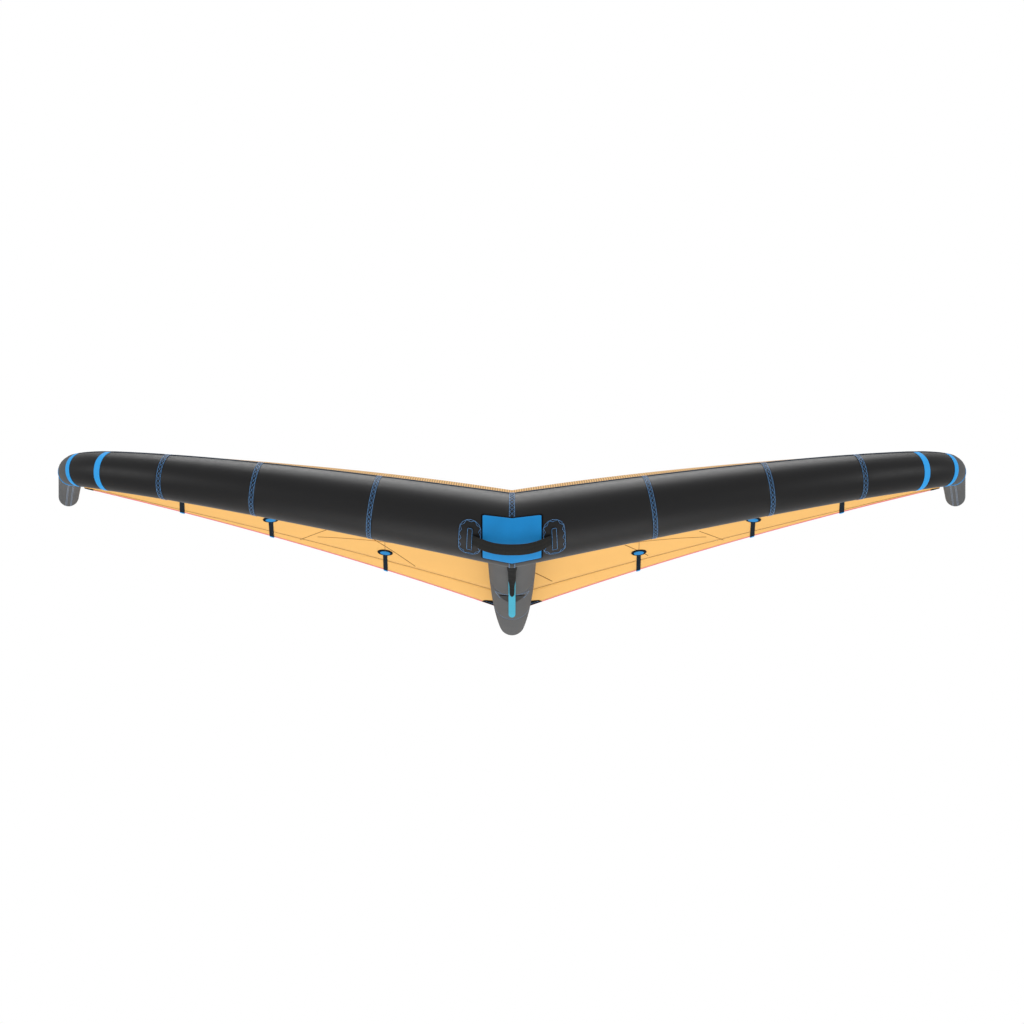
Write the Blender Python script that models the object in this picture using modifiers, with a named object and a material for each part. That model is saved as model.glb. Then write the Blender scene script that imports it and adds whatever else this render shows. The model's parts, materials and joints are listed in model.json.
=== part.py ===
"""Inflatable hand-held wing for foil boards, in metres, +Z up.

X is the span, +Y points back to the trailing edge and +Z up. The pieces are drawn from the middle
of the leading edge tube, and one empty carries them all to the part's own origin, which lies on
the ground below the middle of the wing.
"""
import math

import bmesh
import bpy
from mathutils import Matrix, Vector

# Leading edge tube: its path and its taper
LE_REACH = 1.2854
LE_SWEEP = 0.2105
LE_RISE = 0.2203
LE_SWEEP_SHARES = (0.5534, 0.4466)
LE_SWEEP_POWER = 5
LE_RISE_SHARES = (1.1083, -0.1083)
LE_ROOT_RADIUS = 0.1145
LE_BEND_RADIUS = 0.0621
LE_TAPER_SHARES = (0.8431, 0.1569)
LE_SIDES = 20

# Wing tips: the tube bends gently to its ring, turns back sharply and runs to a rounded end
TIP_BEND_LENGTH = 0.1112
TIP_BEND_HEADING = math.radians(35.8)
TIP_TURN_LENGTH = 0.0588
TIP_TURN_HEADING = math.radians(80.8)
TIP_RUN = 0.3757
TIP_RING_RADIUS = 0.0535
TIP_RUN_RADIUS = 0.0428
LE_TIP_RADIUS = 0.0334
TIP_RING_SLOPE_SHARE = 0.0765
TIP_END_SLOPE_SHARE = -0.1822
TIP_ROUNDING_SHARES = (0.5, 0.8, 0.96)

# Sewn seams of the leading edge, as shares of its reach
SEAM_SHARES = (0.331, 0.6177, 0.8453)
SEAM_1, SEAM_2, SEAM_3 = (share * LE_REACH for share in SEAM_SHARES)
PANEL_GAP = 0.0006
CENTRE_GAP = 0.0008
SEAM_TAPE_WIDTH = 0.0165
CENTRE_TAPE_WIDTH = 0.018
TIP_BAND_WIDTH = 0.022
TIP_RING_WIDTH = 0.019
TAPE_THICKNESS = 0.0006

# Cloth, bladders and the clearances between layers
CLEARANCE = 0.0003
SKIN_CLEARANCE = 0.0006
CASING_WALL = 0.0015
BLADDER_WALL = 0.001
BLADDER_GAP = 0.0005
CLOTH_THICKNESS = 0.0015
BLADDER_SIDES = 10

# Trailing edge
TE_ROOT_BACK = 1.90
TE_ROOT_DROP = 0.040
TE_TIP_OUT = 0.1306
TE_TIP_REACH = LE_REACH + TE_TIP_OUT
TE_TIP_BEHIND = 0.4545
TE_TIP_BACK = LE_SWEEP + TE_TIP_BEHIND
TE_RISE = 0.2726
TE_POWER = 1.9
TE_RISE_SHARES = (1.81, -0.81)
TE_FAN_SHARE = 1.06

# Canopy
CAMBER = 0.133
CAMBER_SHARES = (1, -0.198, -1.219, 0.606)
CAMBER_POWERS = (0.8, 1.1)
ATTACH_ANGLE = math.radians(18)
CANOPY_LIFT = CLEARANCE + TAPE_THICKNESS + CLEARANCE
CANOPY_TIP_STOP = 0.10
FRONT_SEAM_SHARE = 0.32
REAR_SEAM_SHARE = 0.93
CHORD_SHARES = (0, 0.05, 0.13, 0.22, 0.32, 0.44, 0.56, 0.68, 0.78, 0.87, 0.93, 1)
CANOPY_GAP = 0.0006
HEM_WIDTH = 0.014
HEM_THICKNESS = 0.0025
HEM_SHARE = 0.5

# Battens, in sewn pockets with a round head, under the trailing edge
BATTEN_SHARES = (0.3377, 0.6249, 0.8331)
BATTEN_PLACES = tuple(share * LE_REACH for share in BATTEN_SHARES)
BATTEN_WIDTH = 0.009
BATTEN_THICKNESS = 0.0016
BATTEN_LENGTH = 0.132
POCKET_STEM_WIDTH = 0.015
POCKET_HEAD_RADIUS = 0.0235
POCKET_CLOTH = 0.0008
POCKET_HEAD_SHARES = (-0.94, -0.6, 0, 0.6, 0.9)

# Strut under the middle of the canopy
STRUT_RADIUS = 0.0865
STRUT_END_RADIUS = 0.0465
STRUT_TAPER_POWER = 4.8
STRUT_FRONT = 0.10
STRUT_BACK = 1.88
STRUT_SEAT = 0.0006
STRUT_NOSE_DROP = 0.033
STRUT_NOSE_LENGTH = 0.32
STRUT_FRONT_SEAM = 1.30
STRUT_REAR_SEAM = 1.615
STRUT_SIDES = 20
STRUT_ROUNDING = 0.036
STRUT_JOIN_GAP = 0.0022
HALVINGS = 40
SMALLEST_TURN = 0.00001
STRUT_FIRST_ROW = 0.135
STRUT_BLADDER_CAP = 0.008

# Rail and base strip for a boom, under the strut
RAIL_FRONT = 0.74
RAIL_WIDE_LENGTH = 0.13
RAIL_TAPER_LENGTH = 0.24
RAIL_NARROW_LENGTH = 0.162
RAIL_TAPER_START = RAIL_FRONT + RAIL_WIDE_LENGTH
RAIL_TAPER_END = RAIL_TAPER_START + RAIL_TAPER_LENGTH
RAIL_BACK = RAIL_TAPER_END + RAIL_NARROW_LENGTH
RAIL_WIDTH = 0.034
RAIL_TAIL_WIDTH = 0.018
RAIL_HEIGHT = 0.012
RAIL_STEP_LENGTH = 0.015
STRIP_COVERED = 0.08
STRIP_FRONT = RAIL_TAPER_END - STRIP_COVERED
STRIP_LENGTH = 0.545
STRIP_BACK = STRIP_FRONT + STRIP_LENGTH
STRIP_WIDTH = 0.027
STRIP_THICKNESS = 0.0022
STRIP_LIFT = 0.0009
ROUND_END_SHARES = (0.5, 0.8, 1)

# Wear pad on the nose, its angles measured round the tube from its top towards the back
PAD_HALF_WIDTH = 0.084
PAD_LOW_ANGLE = math.radians(201)
PAD_HIGH_ANGLE = math.radians(282)
PAD_THICKNESS = 0.0012
PAD_COLUMNS = 6

# Front handle and its anchors
ANCHOR_PLACE = 0.121
ANCHOR_ANGLE = math.radians(238)
ANCHOR_RADIUS = 0.0345
ANCHOR_STRAIGHT = 0.061
ANCHOR_THICKNESS = 0.0014
BAR_WIDTH = 0.014
BAR_LENGTH = 0.070
BAR_HEIGHT = 0.0085
BAR_EDGE = 0.0003
HANDLE_END_GAP = 0.0006
HANDLE_END_LIFT = 0.0072
HANDLE_FRONT = 0.148
HANDLE_DROP = 0.0805
HANDLE_WIDTH = 0.037
HANDLE_END_WIDTH = 0.030
HANDLE_THICKNESS = 0.003
HANDLE_FACE_ANGLE = math.radians(34)
HANDLE_BOW_POWER = 2.4
HANDLE_ROWS = 12

# Inflation valve on the back of the tube
VALVE_PLACE = 0.155
VALVE_NECK_RADIUS = 0.0155
VALVE_BORE_RADIUS = 0.0120
VALVE_SEAT_RADIUS = 0.0090
VALVE_SEAT_THICKNESS = 0.0015
VALVE_SEAT_DEPTH = 0.001
VALVE_FLANGE_RADIUS = 0.0225
VALVE_FLANGE_THICKNESS = 0.002
VALVE_FLANGE_LIFT = 0.0018
VALVE_HEIGHT = 0.012
VALVE_SKIRT = 0.010
VALVE_HOLE_CLEARANCE = 0.0005
VALVE_STEPS = 24
FLAP_RADIUS = 0.0105
FLAP_THICKNESS = 0.001
CAP_RADIUS = 0.0180
CAP_THICKNESS = 0.003
CAP_DIMPLE_RADIUS = 0.009
CAP_DIMPLE_DEPTH = 0.0012
CAP_HINGE_OFFSET = 0.0008

# Air hose from the tube to the strut, with its pinch clip
HOSE_PLACE = 0.165
HOSE_RADIUS = 0.008
HOSE_WALL = 0.0022
HOSE_INSERT = 0.009
HOSE_STRAIGHT = 0.085
HOSE_STRUT_PLACE = 0.34
HOSE_STRUT_ANGLE = math.radians(122)
HOSE_PULL = 0.095
HOSE_STRUT_PULL = 0.09
HOSE_SIDES = 10
HOSE_CURVE_ROWS = 12
HOSE_HOLE_CLEARANCE = 0.0005
HOSE_CUT_DEPTH = 0.030
CLIP_BACK = 0.045
CLIP_WIDTH = 0.030
CLIP_HEIGHT = 0.026
CLIP_LENGTH = 0.014
CLIP_BEVEL = 0.0015
CLIP_HOLE_CLEARANCE = 0.0004
CLIP_HOLE_POINTS = 16
LEVER_LENGTH = 0.034
LEVER_THICKNESS = 0.004
LEVER_WIDTH = 0.010
LEVER_BEVEL = 0.001

# Service zip on the back of the tube
ZIP_START = 0.235
ZIP_END = 0.405
ZIP_ANGLE = math.radians(117)
ZIP_TAPE_ARC = math.radians(14)
ZIP_TAPE_THICKNESS = 0.0008
ZIP_TEETH_ARC = math.radians(3)
ZIP_TEETH_HEIGHT = 0.0028
ZIP_TEETH_TOP_SHARE = 0.9
SLIDER_LENGTH = 0.014
SLIDER_WIDTH = 0.011
SLIDER_HEIGHT = 0.0035
SLIDER_BEVEL = 0.0008
SLIDER_MARGIN = 0.004

# Patches under the trailing edge beside the strut
TE_PATCH_INNER = 0.060
TE_PATCH_OUTER = 0.110
TE_PATCH_LENGTH = 0.048
TE_PATCH_THICKNESS = 0.0008

# Where the part's own origin lies, seen from the middle of the leading edge
ORIGIN_BACK = 0.8782
ORIGIN_DROP = 0.1282

# Colours, linear
DARK_CLOTH = (0.018, 0.018, 0.020)
GREY_CLOTH = (0.14, 0.15, 0.155)
CANOPY_CLOTH = (0.92, 0.52, 0.17)
TAPE_BLUE = (0.055, 0.16, 0.30)
BRIGHT_BLUE = (0.05, 0.36, 0.85)
PAD_BLUE = (0.022, 0.25, 0.58)
HEM_PINK = (0.80, 0.12, 0.20)
STRIP_CYAN = (0.09, 0.45, 0.60)
BLACK_PLASTIC = (0.02, 0.022, 0.022)
WEBBING = (0.03, 0.03, 0.03)
BLADDER_CLEAR = (0.62, 0.66, 0.68)
HOSE_GREY = (0.35, 0.36, 0.38)
BATTEN_GLASS = (0.55, 0.56, 0.50)

SIDES = (("right", 1), ("left", -1))


# Scene, materials and mesh helpers

def clear_scene():
    for old in list(bpy.data.objects):
        bpy.data.objects.remove(old, do_unlink=True)


def new_collection(name):
    group = bpy.data.collections.new(name)
    bpy.context.scene.collection.children.link(group)
    return group


def finish(piece, colour, roughness=0.6, metallic=0.0):
    """Give a piece its own plain material."""
    material = bpy.data.materials.new(piece.name)
    material.use_nodes = True
    shader = material.node_tree.nodes["Principled BSDF"]
    shader.inputs["Base Color"].default_value = (*colour, 1)
    shader.inputs["Roughness"].default_value = roughness
    shader.inputs["Metallic"].default_value = metallic
    piece.data.materials.clear()
    piece.data.materials.append(material)
    return piece


def add_object(name, mesh, group, parent, smooth=True):
    piece = bpy.data.objects.new(name, mesh)
    group.objects.link(piece)
    piece.parent = parent
    if smooth:
        mesh.shade_smooth()
        mesh.set_sharp_from_angle(angle=math.radians(35))
    return piece


def grid_mesh(name, rows, around=False, first_tip=None, last_tip=None):
    """Open surface through rows of points: a tube when around, else a sheet, with closed ends at tips."""
    work = bmesh.new()
    grid = [[work.verts.new(point) for point in row] for row in rows]
    count = len(rows[0])
    spans = count if around else count - 1
    for near, far in zip(grid, grid[1:]):
        for step in range(spans):
            other = (step + 1) % count
            work.faces.new((near[step], far[step], far[other], near[other]))
    if first_tip is not None:
        tip = work.verts.new(first_tip)
        for step in range(spans):
            work.faces.new((tip, grid[0][step], grid[0][(step + 1) % count]))
    if last_tip is not None:
        tip = work.verts.new(last_tip)
        for step in range(spans):
            work.faces.new((tip, grid[-1][(step + 1) % count], grid[-1][step]))
    mesh = bpy.data.meshes.new(name)
    work.to_mesh(mesh)
    work.free()
    return mesh


def slab_mesh(name, top, bottom):
    """Closed body between two grids of the same size, the top one facing out."""
    work = bmesh.new()
    upper = [[work.verts.new(point) for point in row] for row in top]
    lower = [[work.verts.new(point) for point in row] for row in bottom]
    rows = len(top)
    count = len(top[0])
    for row in range(rows - 1):
        for step in range(count - 1):
            work.faces.new((upper[row][step], upper[row + 1][step],
                            upper[row + 1][step + 1], upper[row][step + 1]))
            work.faces.new((lower[row][step], lower[row][step + 1],
                            lower[row + 1][step + 1], lower[row + 1][step]))
    for row in range(rows - 1):
        work.faces.new((upper[row][0], lower[row][0], lower[row + 1][0], upper[row + 1][0]))
        work.faces.new((upper[row + 1][-1], lower[row + 1][-1], lower[row][-1], upper[row][-1]))
    for step in range(count - 1):
        work.faces.new((upper[0][step + 1], lower[0][step + 1], lower[0][step], upper[0][step]))
        work.faces.new((upper[-1][step], lower[-1][step], lower[-1][step + 1], upper[-1][step + 1]))
    mesh = bpy.data.meshes.new(name)
    work.to_mesh(mesh)
    work.free()
    return mesh


def thicken(piece, thickness, outward):
    solid = piece.modifiers.new("thickness", "SOLIDIFY")
    solid.thickness = thickness
    solid.offset = 1 if outward else -1
    solid.use_even_offset = True
    return piece


def mirror_across(piece):
    mirror = piece.modifiers.new("other side", "MIRROR")
    mirror.use_axis[0] = True
    mirror.merge_threshold = 0.0001
    return piece


def mirrored(rows):
    """The same sheet on the other side of the wing, still facing the same way."""
    return [[Vector((-point.x, point.y, point.z)) for point in reversed(row)] for row in rows]


def round_edges(piece, width, segments=2):
    bevel = piece.modifiers.new("edges", "BEVEL")
    bevel.width = width
    bevel.segments = segments
    bevel.limit_method = "ANGLE"
    return piece


def cut(piece, cutter):
    boolean = piece.modifiers.new("cut by " + cutter.name, "BOOLEAN")
    boolean.operation = "DIFFERENCE"
    boolean.solver = "EXACT"
    boolean.object = cutter
    return piece


def turn(name, profile, steps, group, parent, hollow=True):
    """Profile of (radius, height) pairs turned about the object's own Z axis, closed when hollow."""
    mesh = bpy.data.meshes.new(name)
    points = [(radius, 0, height) for radius, height in profile]
    count = len(points) if hollow else len(points) - 1
    edges = [(step, (step + 1) % len(points)) for step in range(count)]
    mesh.from_pydata(points, edges, [])
    piece = add_object(name, mesh, group, parent, smooth=False)
    screw = piece.modifiers.new("turned", "SCREW")
    screw.steps = steps
    screw.render_steps = steps
    screw.use_merge_vertices = True
    screw.merge_threshold = 0.00001
    screw.use_smooth_shade = True
    return piece


def cylinder_mesh(name, radius, length, segments):
    work = bmesh.new()
    bmesh.ops.create_cone(work, cap_ends=True, cap_tris=False, segments=segments,
                          radius1=radius, radius2=radius, depth=length)
    mesh = bpy.data.meshes.new(name)
    work.to_mesh(mesh)
    work.free()
    return mesh


def box_mesh(name, size, centre):
    work = bmesh.new()
    bmesh.ops.create_cube(work, size=1)
    bmesh.ops.scale(work, vec=size, verts=work.verts)
    bmesh.ops.translate(work, vec=centre, verts=work.verts)
    mesh = bpy.data.meshes.new(name)
    work.to_mesh(mesh)
    work.free()
    return mesh


def between(start, end, count):
    """Evenly spaced values from start to end, in count steps."""
    return [start + (end - start) * step / count for step in range(count + 1)]


def joined(*lists):
    """Lists of stations run together, each starting where the one before ended."""
    together = list(lists[0])
    for more in lists[1:]:
        together.extend(more[1:])
    return together


def span_of(value, stations):
    """The two stations a value lies between and its share of the way from one to the other."""
    spans = list(zip(stations, stations[1:]))
    low, high = next((span for span in spans if value <= span[1]), spans[-1])
    return low, high, (value - low) / (high - low)


# The leading edge tube as a formula

START_HEADING = math.atan2(
    LE_SWEEP * (LE_SWEEP_SHARES[0] + LE_SWEEP_POWER * LE_SWEEP_SHARES[1]), LE_REACH)
START_SLOPE = LE_RISE / LE_REACH * (LE_RISE_SHARES[0] + 2 * LE_RISE_SHARES[1]) * math.cos(START_HEADING)
TIP_RING = LE_REACH + TIP_BEND_LENGTH
TURN_END = TIP_RING + TIP_TURN_LENGTH
LE_END = TURN_END + TIP_RUN
CANOPY_END = LE_END - CANOPY_TIP_STOP
TIP_PLACES = (LE_REACH, TIP_RING, TURN_END, LE_END)

LE_STATIONS = joined(
    between(0, SEAM_1, 4), between(SEAM_1, SEAM_2, 2), between(SEAM_2, SEAM_3, 2),
    between(SEAM_3, LE_REACH, 2), between(LE_REACH, TIP_RING, 2), between(TIP_RING, TURN_END, 3),
    between(TURN_END, LE_END, 4))


def run_on(x, y, first, last, length):
    """End of a run that starts at x, y and turns evenly from the first heading to the last."""
    turned = last - first
    if abs(turned) < SMALLEST_TURN:
        return x + length * math.cos(first), y + length * math.sin(first)
    radius = length / turned
    return x + radius * (math.sin(last) - math.sin(first)), y + radius * (math.cos(first) - math.cos(last))


def le_section(u):
    """Centre, radius and the up, back and along directions of the tube at span place u."""
    if u <= LE_REACH:
        share = u / LE_REACH
        sweep = LE_SWEEP * (LE_SWEEP_SHARES[0] * share + LE_SWEEP_SHARES[1] * share ** LE_SWEEP_POWER)
        rise = LE_RISE * (LE_RISE_SHARES[0] * share + LE_RISE_SHARES[1] * share ** 2)
        taper = LE_TAPER_SHARES[0] * share + LE_TAPER_SHARES[1] * share ** 2
        radius = LE_ROOT_RADIUS + (LE_BEND_RADIUS - LE_ROOT_RADIUS) * taper
        centre = Vector((u, sweep, rise))
        sweep_slope = LE_SWEEP / LE_REACH * (
            LE_SWEEP_SHARES[0] + LE_SWEEP_POWER * LE_SWEEP_SHARES[1] * share ** (LE_SWEEP_POWER - 1))
        rise_slope = LE_RISE / LE_REACH * (LE_RISE_SHARES[0] + 2 * LE_RISE_SHARES[1] * share)
        along = Vector((1, sweep_slope, rise_slope)).normalized()
    else:
        bent = min(u - LE_REACH, TIP_BEND_LENGTH)
        turned = min(max(u - TIP_RING, 0), TIP_TURN_LENGTH)
        straight = max(u - TURN_END, 0)
        mid_heading = START_HEADING + (TIP_BEND_HEADING - START_HEADING) * bent / TIP_BEND_LENGTH
        heading = mid_heading + (TIP_TURN_HEADING - TIP_BEND_HEADING) * turned / TIP_TURN_LENGTH
        x, y = run_on(LE_REACH, LE_SWEEP, START_HEADING, mid_heading, bent)
        x, y = run_on(x, y, mid_heading, heading, turned)
        x, y = run_on(x, y, heading, heading, straight)
        flattened = (TIP_RING_SLOPE_SHARE - START_SLOPE) / TIP_BEND_LENGTH
        sinking = (TIP_END_SLOPE_SHARE - TIP_RING_SLOPE_SHARE) / (TIP_TURN_LENGTH + TIP_RUN)
        beyond = turned + straight
        ring_slope = START_SLOPE + flattened * bent
        slope = ring_slope + sinking * beyond
        z = LE_RISE + (START_SLOPE + ring_slope) / 2 * bent + (ring_slope + slope) / 2 * beyond
        centre = Vector((x, y, z))
        near, far, share = span_of(u, TIP_PLACES)
        radii = dict(zip(TIP_PLACES, (LE_BEND_RADIUS, TIP_RING_RADIUS, TIP_RUN_RADIUS, LE_TIP_RADIUS)))
        radius = radii[near] + (radii[far] - radii[near]) * share
        along = Vector((math.cos(heading), math.sin(heading), slope)).normalized()
    back = Vector((-along.y, along.x, 0)).normalized()
    up = along.cross(back).normalized()
    return centre, radius, up, back, along


def le_exact(u, angle, out):
    """Point of the tube's skin, the sections near the centre leaning into the plane between the wings."""
    centre, radius, up, back, along = le_section(u)
    arm = (radius + out) * (up * math.cos(angle) + back * math.sin(angle))
    lean = max(0, 1 - u / SEAM_1) ** 2
    arm = arm - along * (arm.x / along.x * lean)
    return centre + arm


def le_point(u, angle, out, side=1):
    """Point on the faceted tube between its stations and its edges, at a distance out from its skin."""
    low, high, share = span_of(u, LE_STATIONS)
    facet = 2 * math.pi / LE_SIDES
    first = math.floor(angle / facet) * facet
    turned = (angle - first) / facet
    lower, upper = (le_exact(low, edge, out).lerp(le_exact(high, edge, out), share)
                    for edge in (first, first + facet))
    point = lower.lerp(upper, turned)
    return Vector((point.x * side, point.y, point.z))


def le_ring(u, out, side=1, count=LE_SIDES):
    return [le_point(u, 2 * math.pi * step / count, out, side) for step in range(count)]


def le_rings(stations, out, side=1, count=LE_SIDES):
    """Rings in the order of rising X."""
    rings = [le_ring(u, out, side, count) for u in stations]
    return rings if side > 0 else rings[::-1]


def le_rounding(out, side, count):
    """Rings and the last point of the tube's rounded end, from its last station outwards."""
    centre, radius, up, back, along = le_section(LE_END)
    reach = radius + out
    rings = []
    for share in TIP_ROUNDING_SHARES:
        middle = centre + along * (reach * share)
        width = reach * math.sqrt(1 - share ** 2)
        ring = []
        for step in range(count):
            angle = 2 * math.pi * step / count
            point = middle + width * (up * math.cos(angle) + back * math.sin(angle))
            ring.append(Vector((point.x * side, point.y, point.z)))
        rings.append(ring)
    tip = centre + along * reach
    return rings, Vector((tip.x * side, tip.y, tip.z))


# The canopy as a formula

def te_reach(u):
    """How far out along X the trailing edge is for a chord that starts at span place u."""
    if u <= LE_REACH:
        return u * TE_FAN_SHARE
    inner = LE_REACH * TE_FAN_SHARE
    return inner + (TE_TIP_REACH - inner) * (u - LE_REACH) / (CANOPY_END - LE_REACH)


def te_point(u):
    reach = te_reach(u)
    share = reach / TE_TIP_REACH
    back = TE_TIP_BACK + (TE_ROOT_BACK - TE_TIP_BACK) * (1 - share ** TE_POWER)
    rise = TE_RISE * (TE_RISE_SHARES[0] * share + TE_RISE_SHARES[1] * share ** 2)
    return Vector((reach, back, rise - TE_ROOT_DROP))


def bulge(share):
    """Camber over the chord, one at its highest."""
    front, rear = CAMBER_POWERS
    peak = front / (front + rear)
    return (share ** front * (1 - share) ** rear) / (peak ** front * (1 - peak) ** rear)


def canopy_exact(u, share):
    start = le_point(u, ATTACH_ANGLE, CANOPY_LIFT)
    end = te_point(u)
    out = start.x / LE_REACH
    camber = CAMBER * sum(part * out ** power for power, part in enumerate(CAMBER_SHARES))
    point = start.lerp(end, share)
    point.z += camber * bulge(share)
    return point


SPAN_STATIONS = joined(
    between(0, BATTEN_PLACES[0], 4), between(BATTEN_PLACES[0], BATTEN_PLACES[1], 4),
    between(BATTEN_PLACES[1], BATTEN_PLACES[2], 3), between(BATTEN_PLACES[2], LE_REACH, 2),
    between(LE_REACH, TIP_RING, 2), between(TIP_RING, TURN_END, 3), between(TURN_END, CANOPY_END, 3))


def canopy_under(u, share, drop=0.0):
    """Point of the faceted canopy's underside, lowered by drop."""
    inner, outer, across = span_of(u, SPAN_STATIONS)
    front, rear, along = span_of(share, CHORD_SHARES)
    near = canopy_exact(inner, front).lerp(canopy_exact(inner, rear), along)
    far = canopy_exact(outer, front).lerp(canopy_exact(outer, rear), along)
    point = near.lerp(far, across)
    point.z -= drop
    return point


def with_knots(shares):
    """Chord shares with the canopy's own ones between them added, front to back."""
    inside = [share for share in CHORD_SHARES if shares[0] < share < shares[-1]]
    return sorted(set(shares) | set(inside))


def chord_at(u):
    return (te_point(u) - le_point(u, ATTACH_ANGLE, CANOPY_LIFT)).length


def seam_gap(u, share):
    """Half the gap between two panels as a share of the chord, wider where the seam slants."""
    chord = te_point(u) - le_point(u, ATTACH_ANGLE, CANOPY_LIFT)
    seams = [canopy_exact(outer, share) - canopy_exact(inner, share)
             for inner, outer in zip(SPAN_STATIONS, SPAN_STATIONS[1:]) if inner <= u <= outer]
    return CANOPY_GAP / 2 * max(seam.length / chord.cross(seam).length for seam in seams)


def hem_start(u):
    """Chord share at which the hem starts, narrower where the chord runs out."""
    return 1 - min(HEM_WIDTH / chord_at(u), HEM_SHARE * (1 - REAR_SEAM_SHARE))


# The strut as a formula

STRUT_STATIONS = joined(
    between(STRUT_FIRST_ROW, STRUT_FRONT_SEAM, 9), between(STRUT_FRONT_SEAM, STRUT_REAR_SEAM, 3),
    between(STRUT_REAR_SEAM, STRUT_BACK, 3))


def strut_radius(y):
    share = min(max((y - STRUT_FRONT) / (STRUT_BACK - STRUT_FRONT), 0), 1)
    return STRUT_RADIUS + (STRUT_END_RADIUS - STRUT_RADIUS) * share ** STRUT_TAPER_POWER


def strut_top(y):
    """Height of the strut's top line, which hangs just under the canopy and dips to the tube."""
    front = canopy_exact(0, 0).y
    share = min(max((y - front) / (TE_ROOT_BACK - front), 0), 1)
    dip = STRUT_NOSE_DROP * max(0, 1 - y / STRUT_NOSE_LENGTH) ** 2
    return canopy_under(0, share, STRUT_SEAT + dip).z


def strut_point(y, angle, inset):
    """Point of the strut's skin, its angle measured from the top towards -X."""
    radius = strut_radius(y)
    height = strut_top(y) - radius
    reach = radius - inset
    return Vector((-reach * math.sin(angle), y, height + reach * math.cos(angle)))


def strut_ring(y, inset=0.0, count=STRUT_SIDES):
    return [strut_point(y, 2 * math.pi * step / count, inset) for step in range(count)]


def strut_rounding(inset, count):
    """Rings and the last point of the strut's rounded back end."""
    radius = strut_radius(STRUT_BACK) - inset
    height = strut_top(STRUT_BACK) - strut_radius(STRUT_BACK)
    reach = STRUT_ROUNDING - inset
    rings = []
    for share in TIP_ROUNDING_SHARES:
        width = radius * math.sqrt(1 - share ** 2)
        rings.append([Vector((-width * math.sin(2 * math.pi * step / count), STRUT_BACK + reach * share,
                              height + width * math.cos(2 * math.pi * step / count)))
                      for step in range(count)])
    return rings, Vector((0, STRUT_BACK + reach, height))


def gap_to_tube(point):
    centre, radius, up, back, along = le_section(abs(point.x))
    arm = Vector((abs(point.x), point.y, point.z)) - centre
    return (arm - along * arm.dot(along)).length - radius


def strut_front_ring(count=STRUT_SIDES):
    """Front edge of the strut's casing, where each line of it meets the back of the tube."""
    ring = []
    for step in range(count):
        angle = 2 * math.pi * step / count
        near = 0.0
        far = STRUT_FIRST_ROW
        for _ in range(HALVINGS):
            middle = (near + far) / 2
            gap = min(gap_to_tube(strut_point(middle, angle, inset)) for inset in (0, CASING_WALL))
            if gap < STRUT_JOIN_GAP:
                near = middle
            else:
                far = middle
        ring.append(strut_point(far, angle, 0))
    return ring


# Leading edge pieces

def build_le_panels(group, parent):
    panels = {}
    ends = (0, SEAM_1, SEAM_2, SEAM_3, LE_REACH)
    half = PANEL_GAP / 2
    for label, side in SIDES:
        for number, (start, end) in enumerate(zip(ends, ends[1:]), 1):
            middle = [u for u in LE_STATIONS if start < u < end]
            stations = [start + (half if start else CENTRE_GAP)] + middle + [end - half]
            name = f"le_panel_{number}_{label}"
            mesh = grid_mesh(name, le_rings(stations, 0, side), around=True)
            piece = add_object(name, mesh, group, parent)
            thicken(piece, CASING_WALL, outward=False)
            panels[name] = finish(piece, DARK_CLOTH, 0.45)
    return panels


def build_tips(group, parent):
    half = PANEL_GAP / 2
    for label, side in SIDES:
        name = f"tip_bend_{label}"
        middle = [u for u in LE_STATIONS if LE_REACH < u < TIP_RING]
        stations = [LE_REACH + half] + middle + [TIP_RING - half]
        bend = add_object(name, grid_mesh(name, le_rings(stations, 0, side), around=True), group, parent)
        thicken(bend, CASING_WALL, outward=False)
        finish(bend, DARK_CLOTH, 0.45)

        name = f"tip_end_{label}"
        under_ring = TIP_RING + TIP_RING_WIDTH / 2
        stations = [TIP_RING + half, under_ring] + [u for u in LE_STATIONS if u > under_ring]
        caps, tip = le_rounding(0, side, LE_SIDES)
        if side > 0:
            rows = le_rings(stations, 0, side) + caps
            mesh = grid_mesh(name, rows, around=True, last_tip=tip)
        else:
            rows = caps[::-1] + le_rings(stations, 0, side)
            mesh = grid_mesh(name, rows, around=True, first_tip=tip)
        end = add_object(name, mesh, group, parent)
        thicken(end, CASING_WALL, outward=False)
        finish(end, GREY_CLOTH, 0.5)


def build_tapes(group, parent):
    half = CENTRE_TAPE_WIDTH / 2
    rings = [le_ring(half, CLEARANCE, -1), le_ring(0, CLEARANCE), le_ring(half, CLEARANCE)]
    centre = add_object("centre_tape", grid_mesh("centre_tape", rings, around=True), group, parent)
    thicken(centre, TAPE_THICKNESS, outward=True)
    finish(centre, TAPE_BLUE, 0.6)
    bands = [(f"seam_tape_{number}", place, SEAM_TAPE_WIDTH, TAPE_BLUE)
             for number, place in enumerate((SEAM_1, SEAM_2, SEAM_3), 1)]
    bands.append(("tip_band", LE_REACH, TIP_BAND_WIDTH, BRIGHT_BLUE))
    bands.append(("tip_ring", TIP_RING, TIP_RING_WIDTH, BRIGHT_BLUE))
    for label, side in SIDES:
        for title, place, width, colour in bands:
            name = f"{title}_{label}"
            stations = [place - width / 2, place, place + width / 2]
            mesh = grid_mesh(name, le_rings(stations, CLEARANCE, side), around=True)
            piece = add_object(name, mesh, group, parent)
            thicken(piece, TAPE_THICKNESS, outward=True)
            finish(piece, colour, 0.5)


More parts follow.
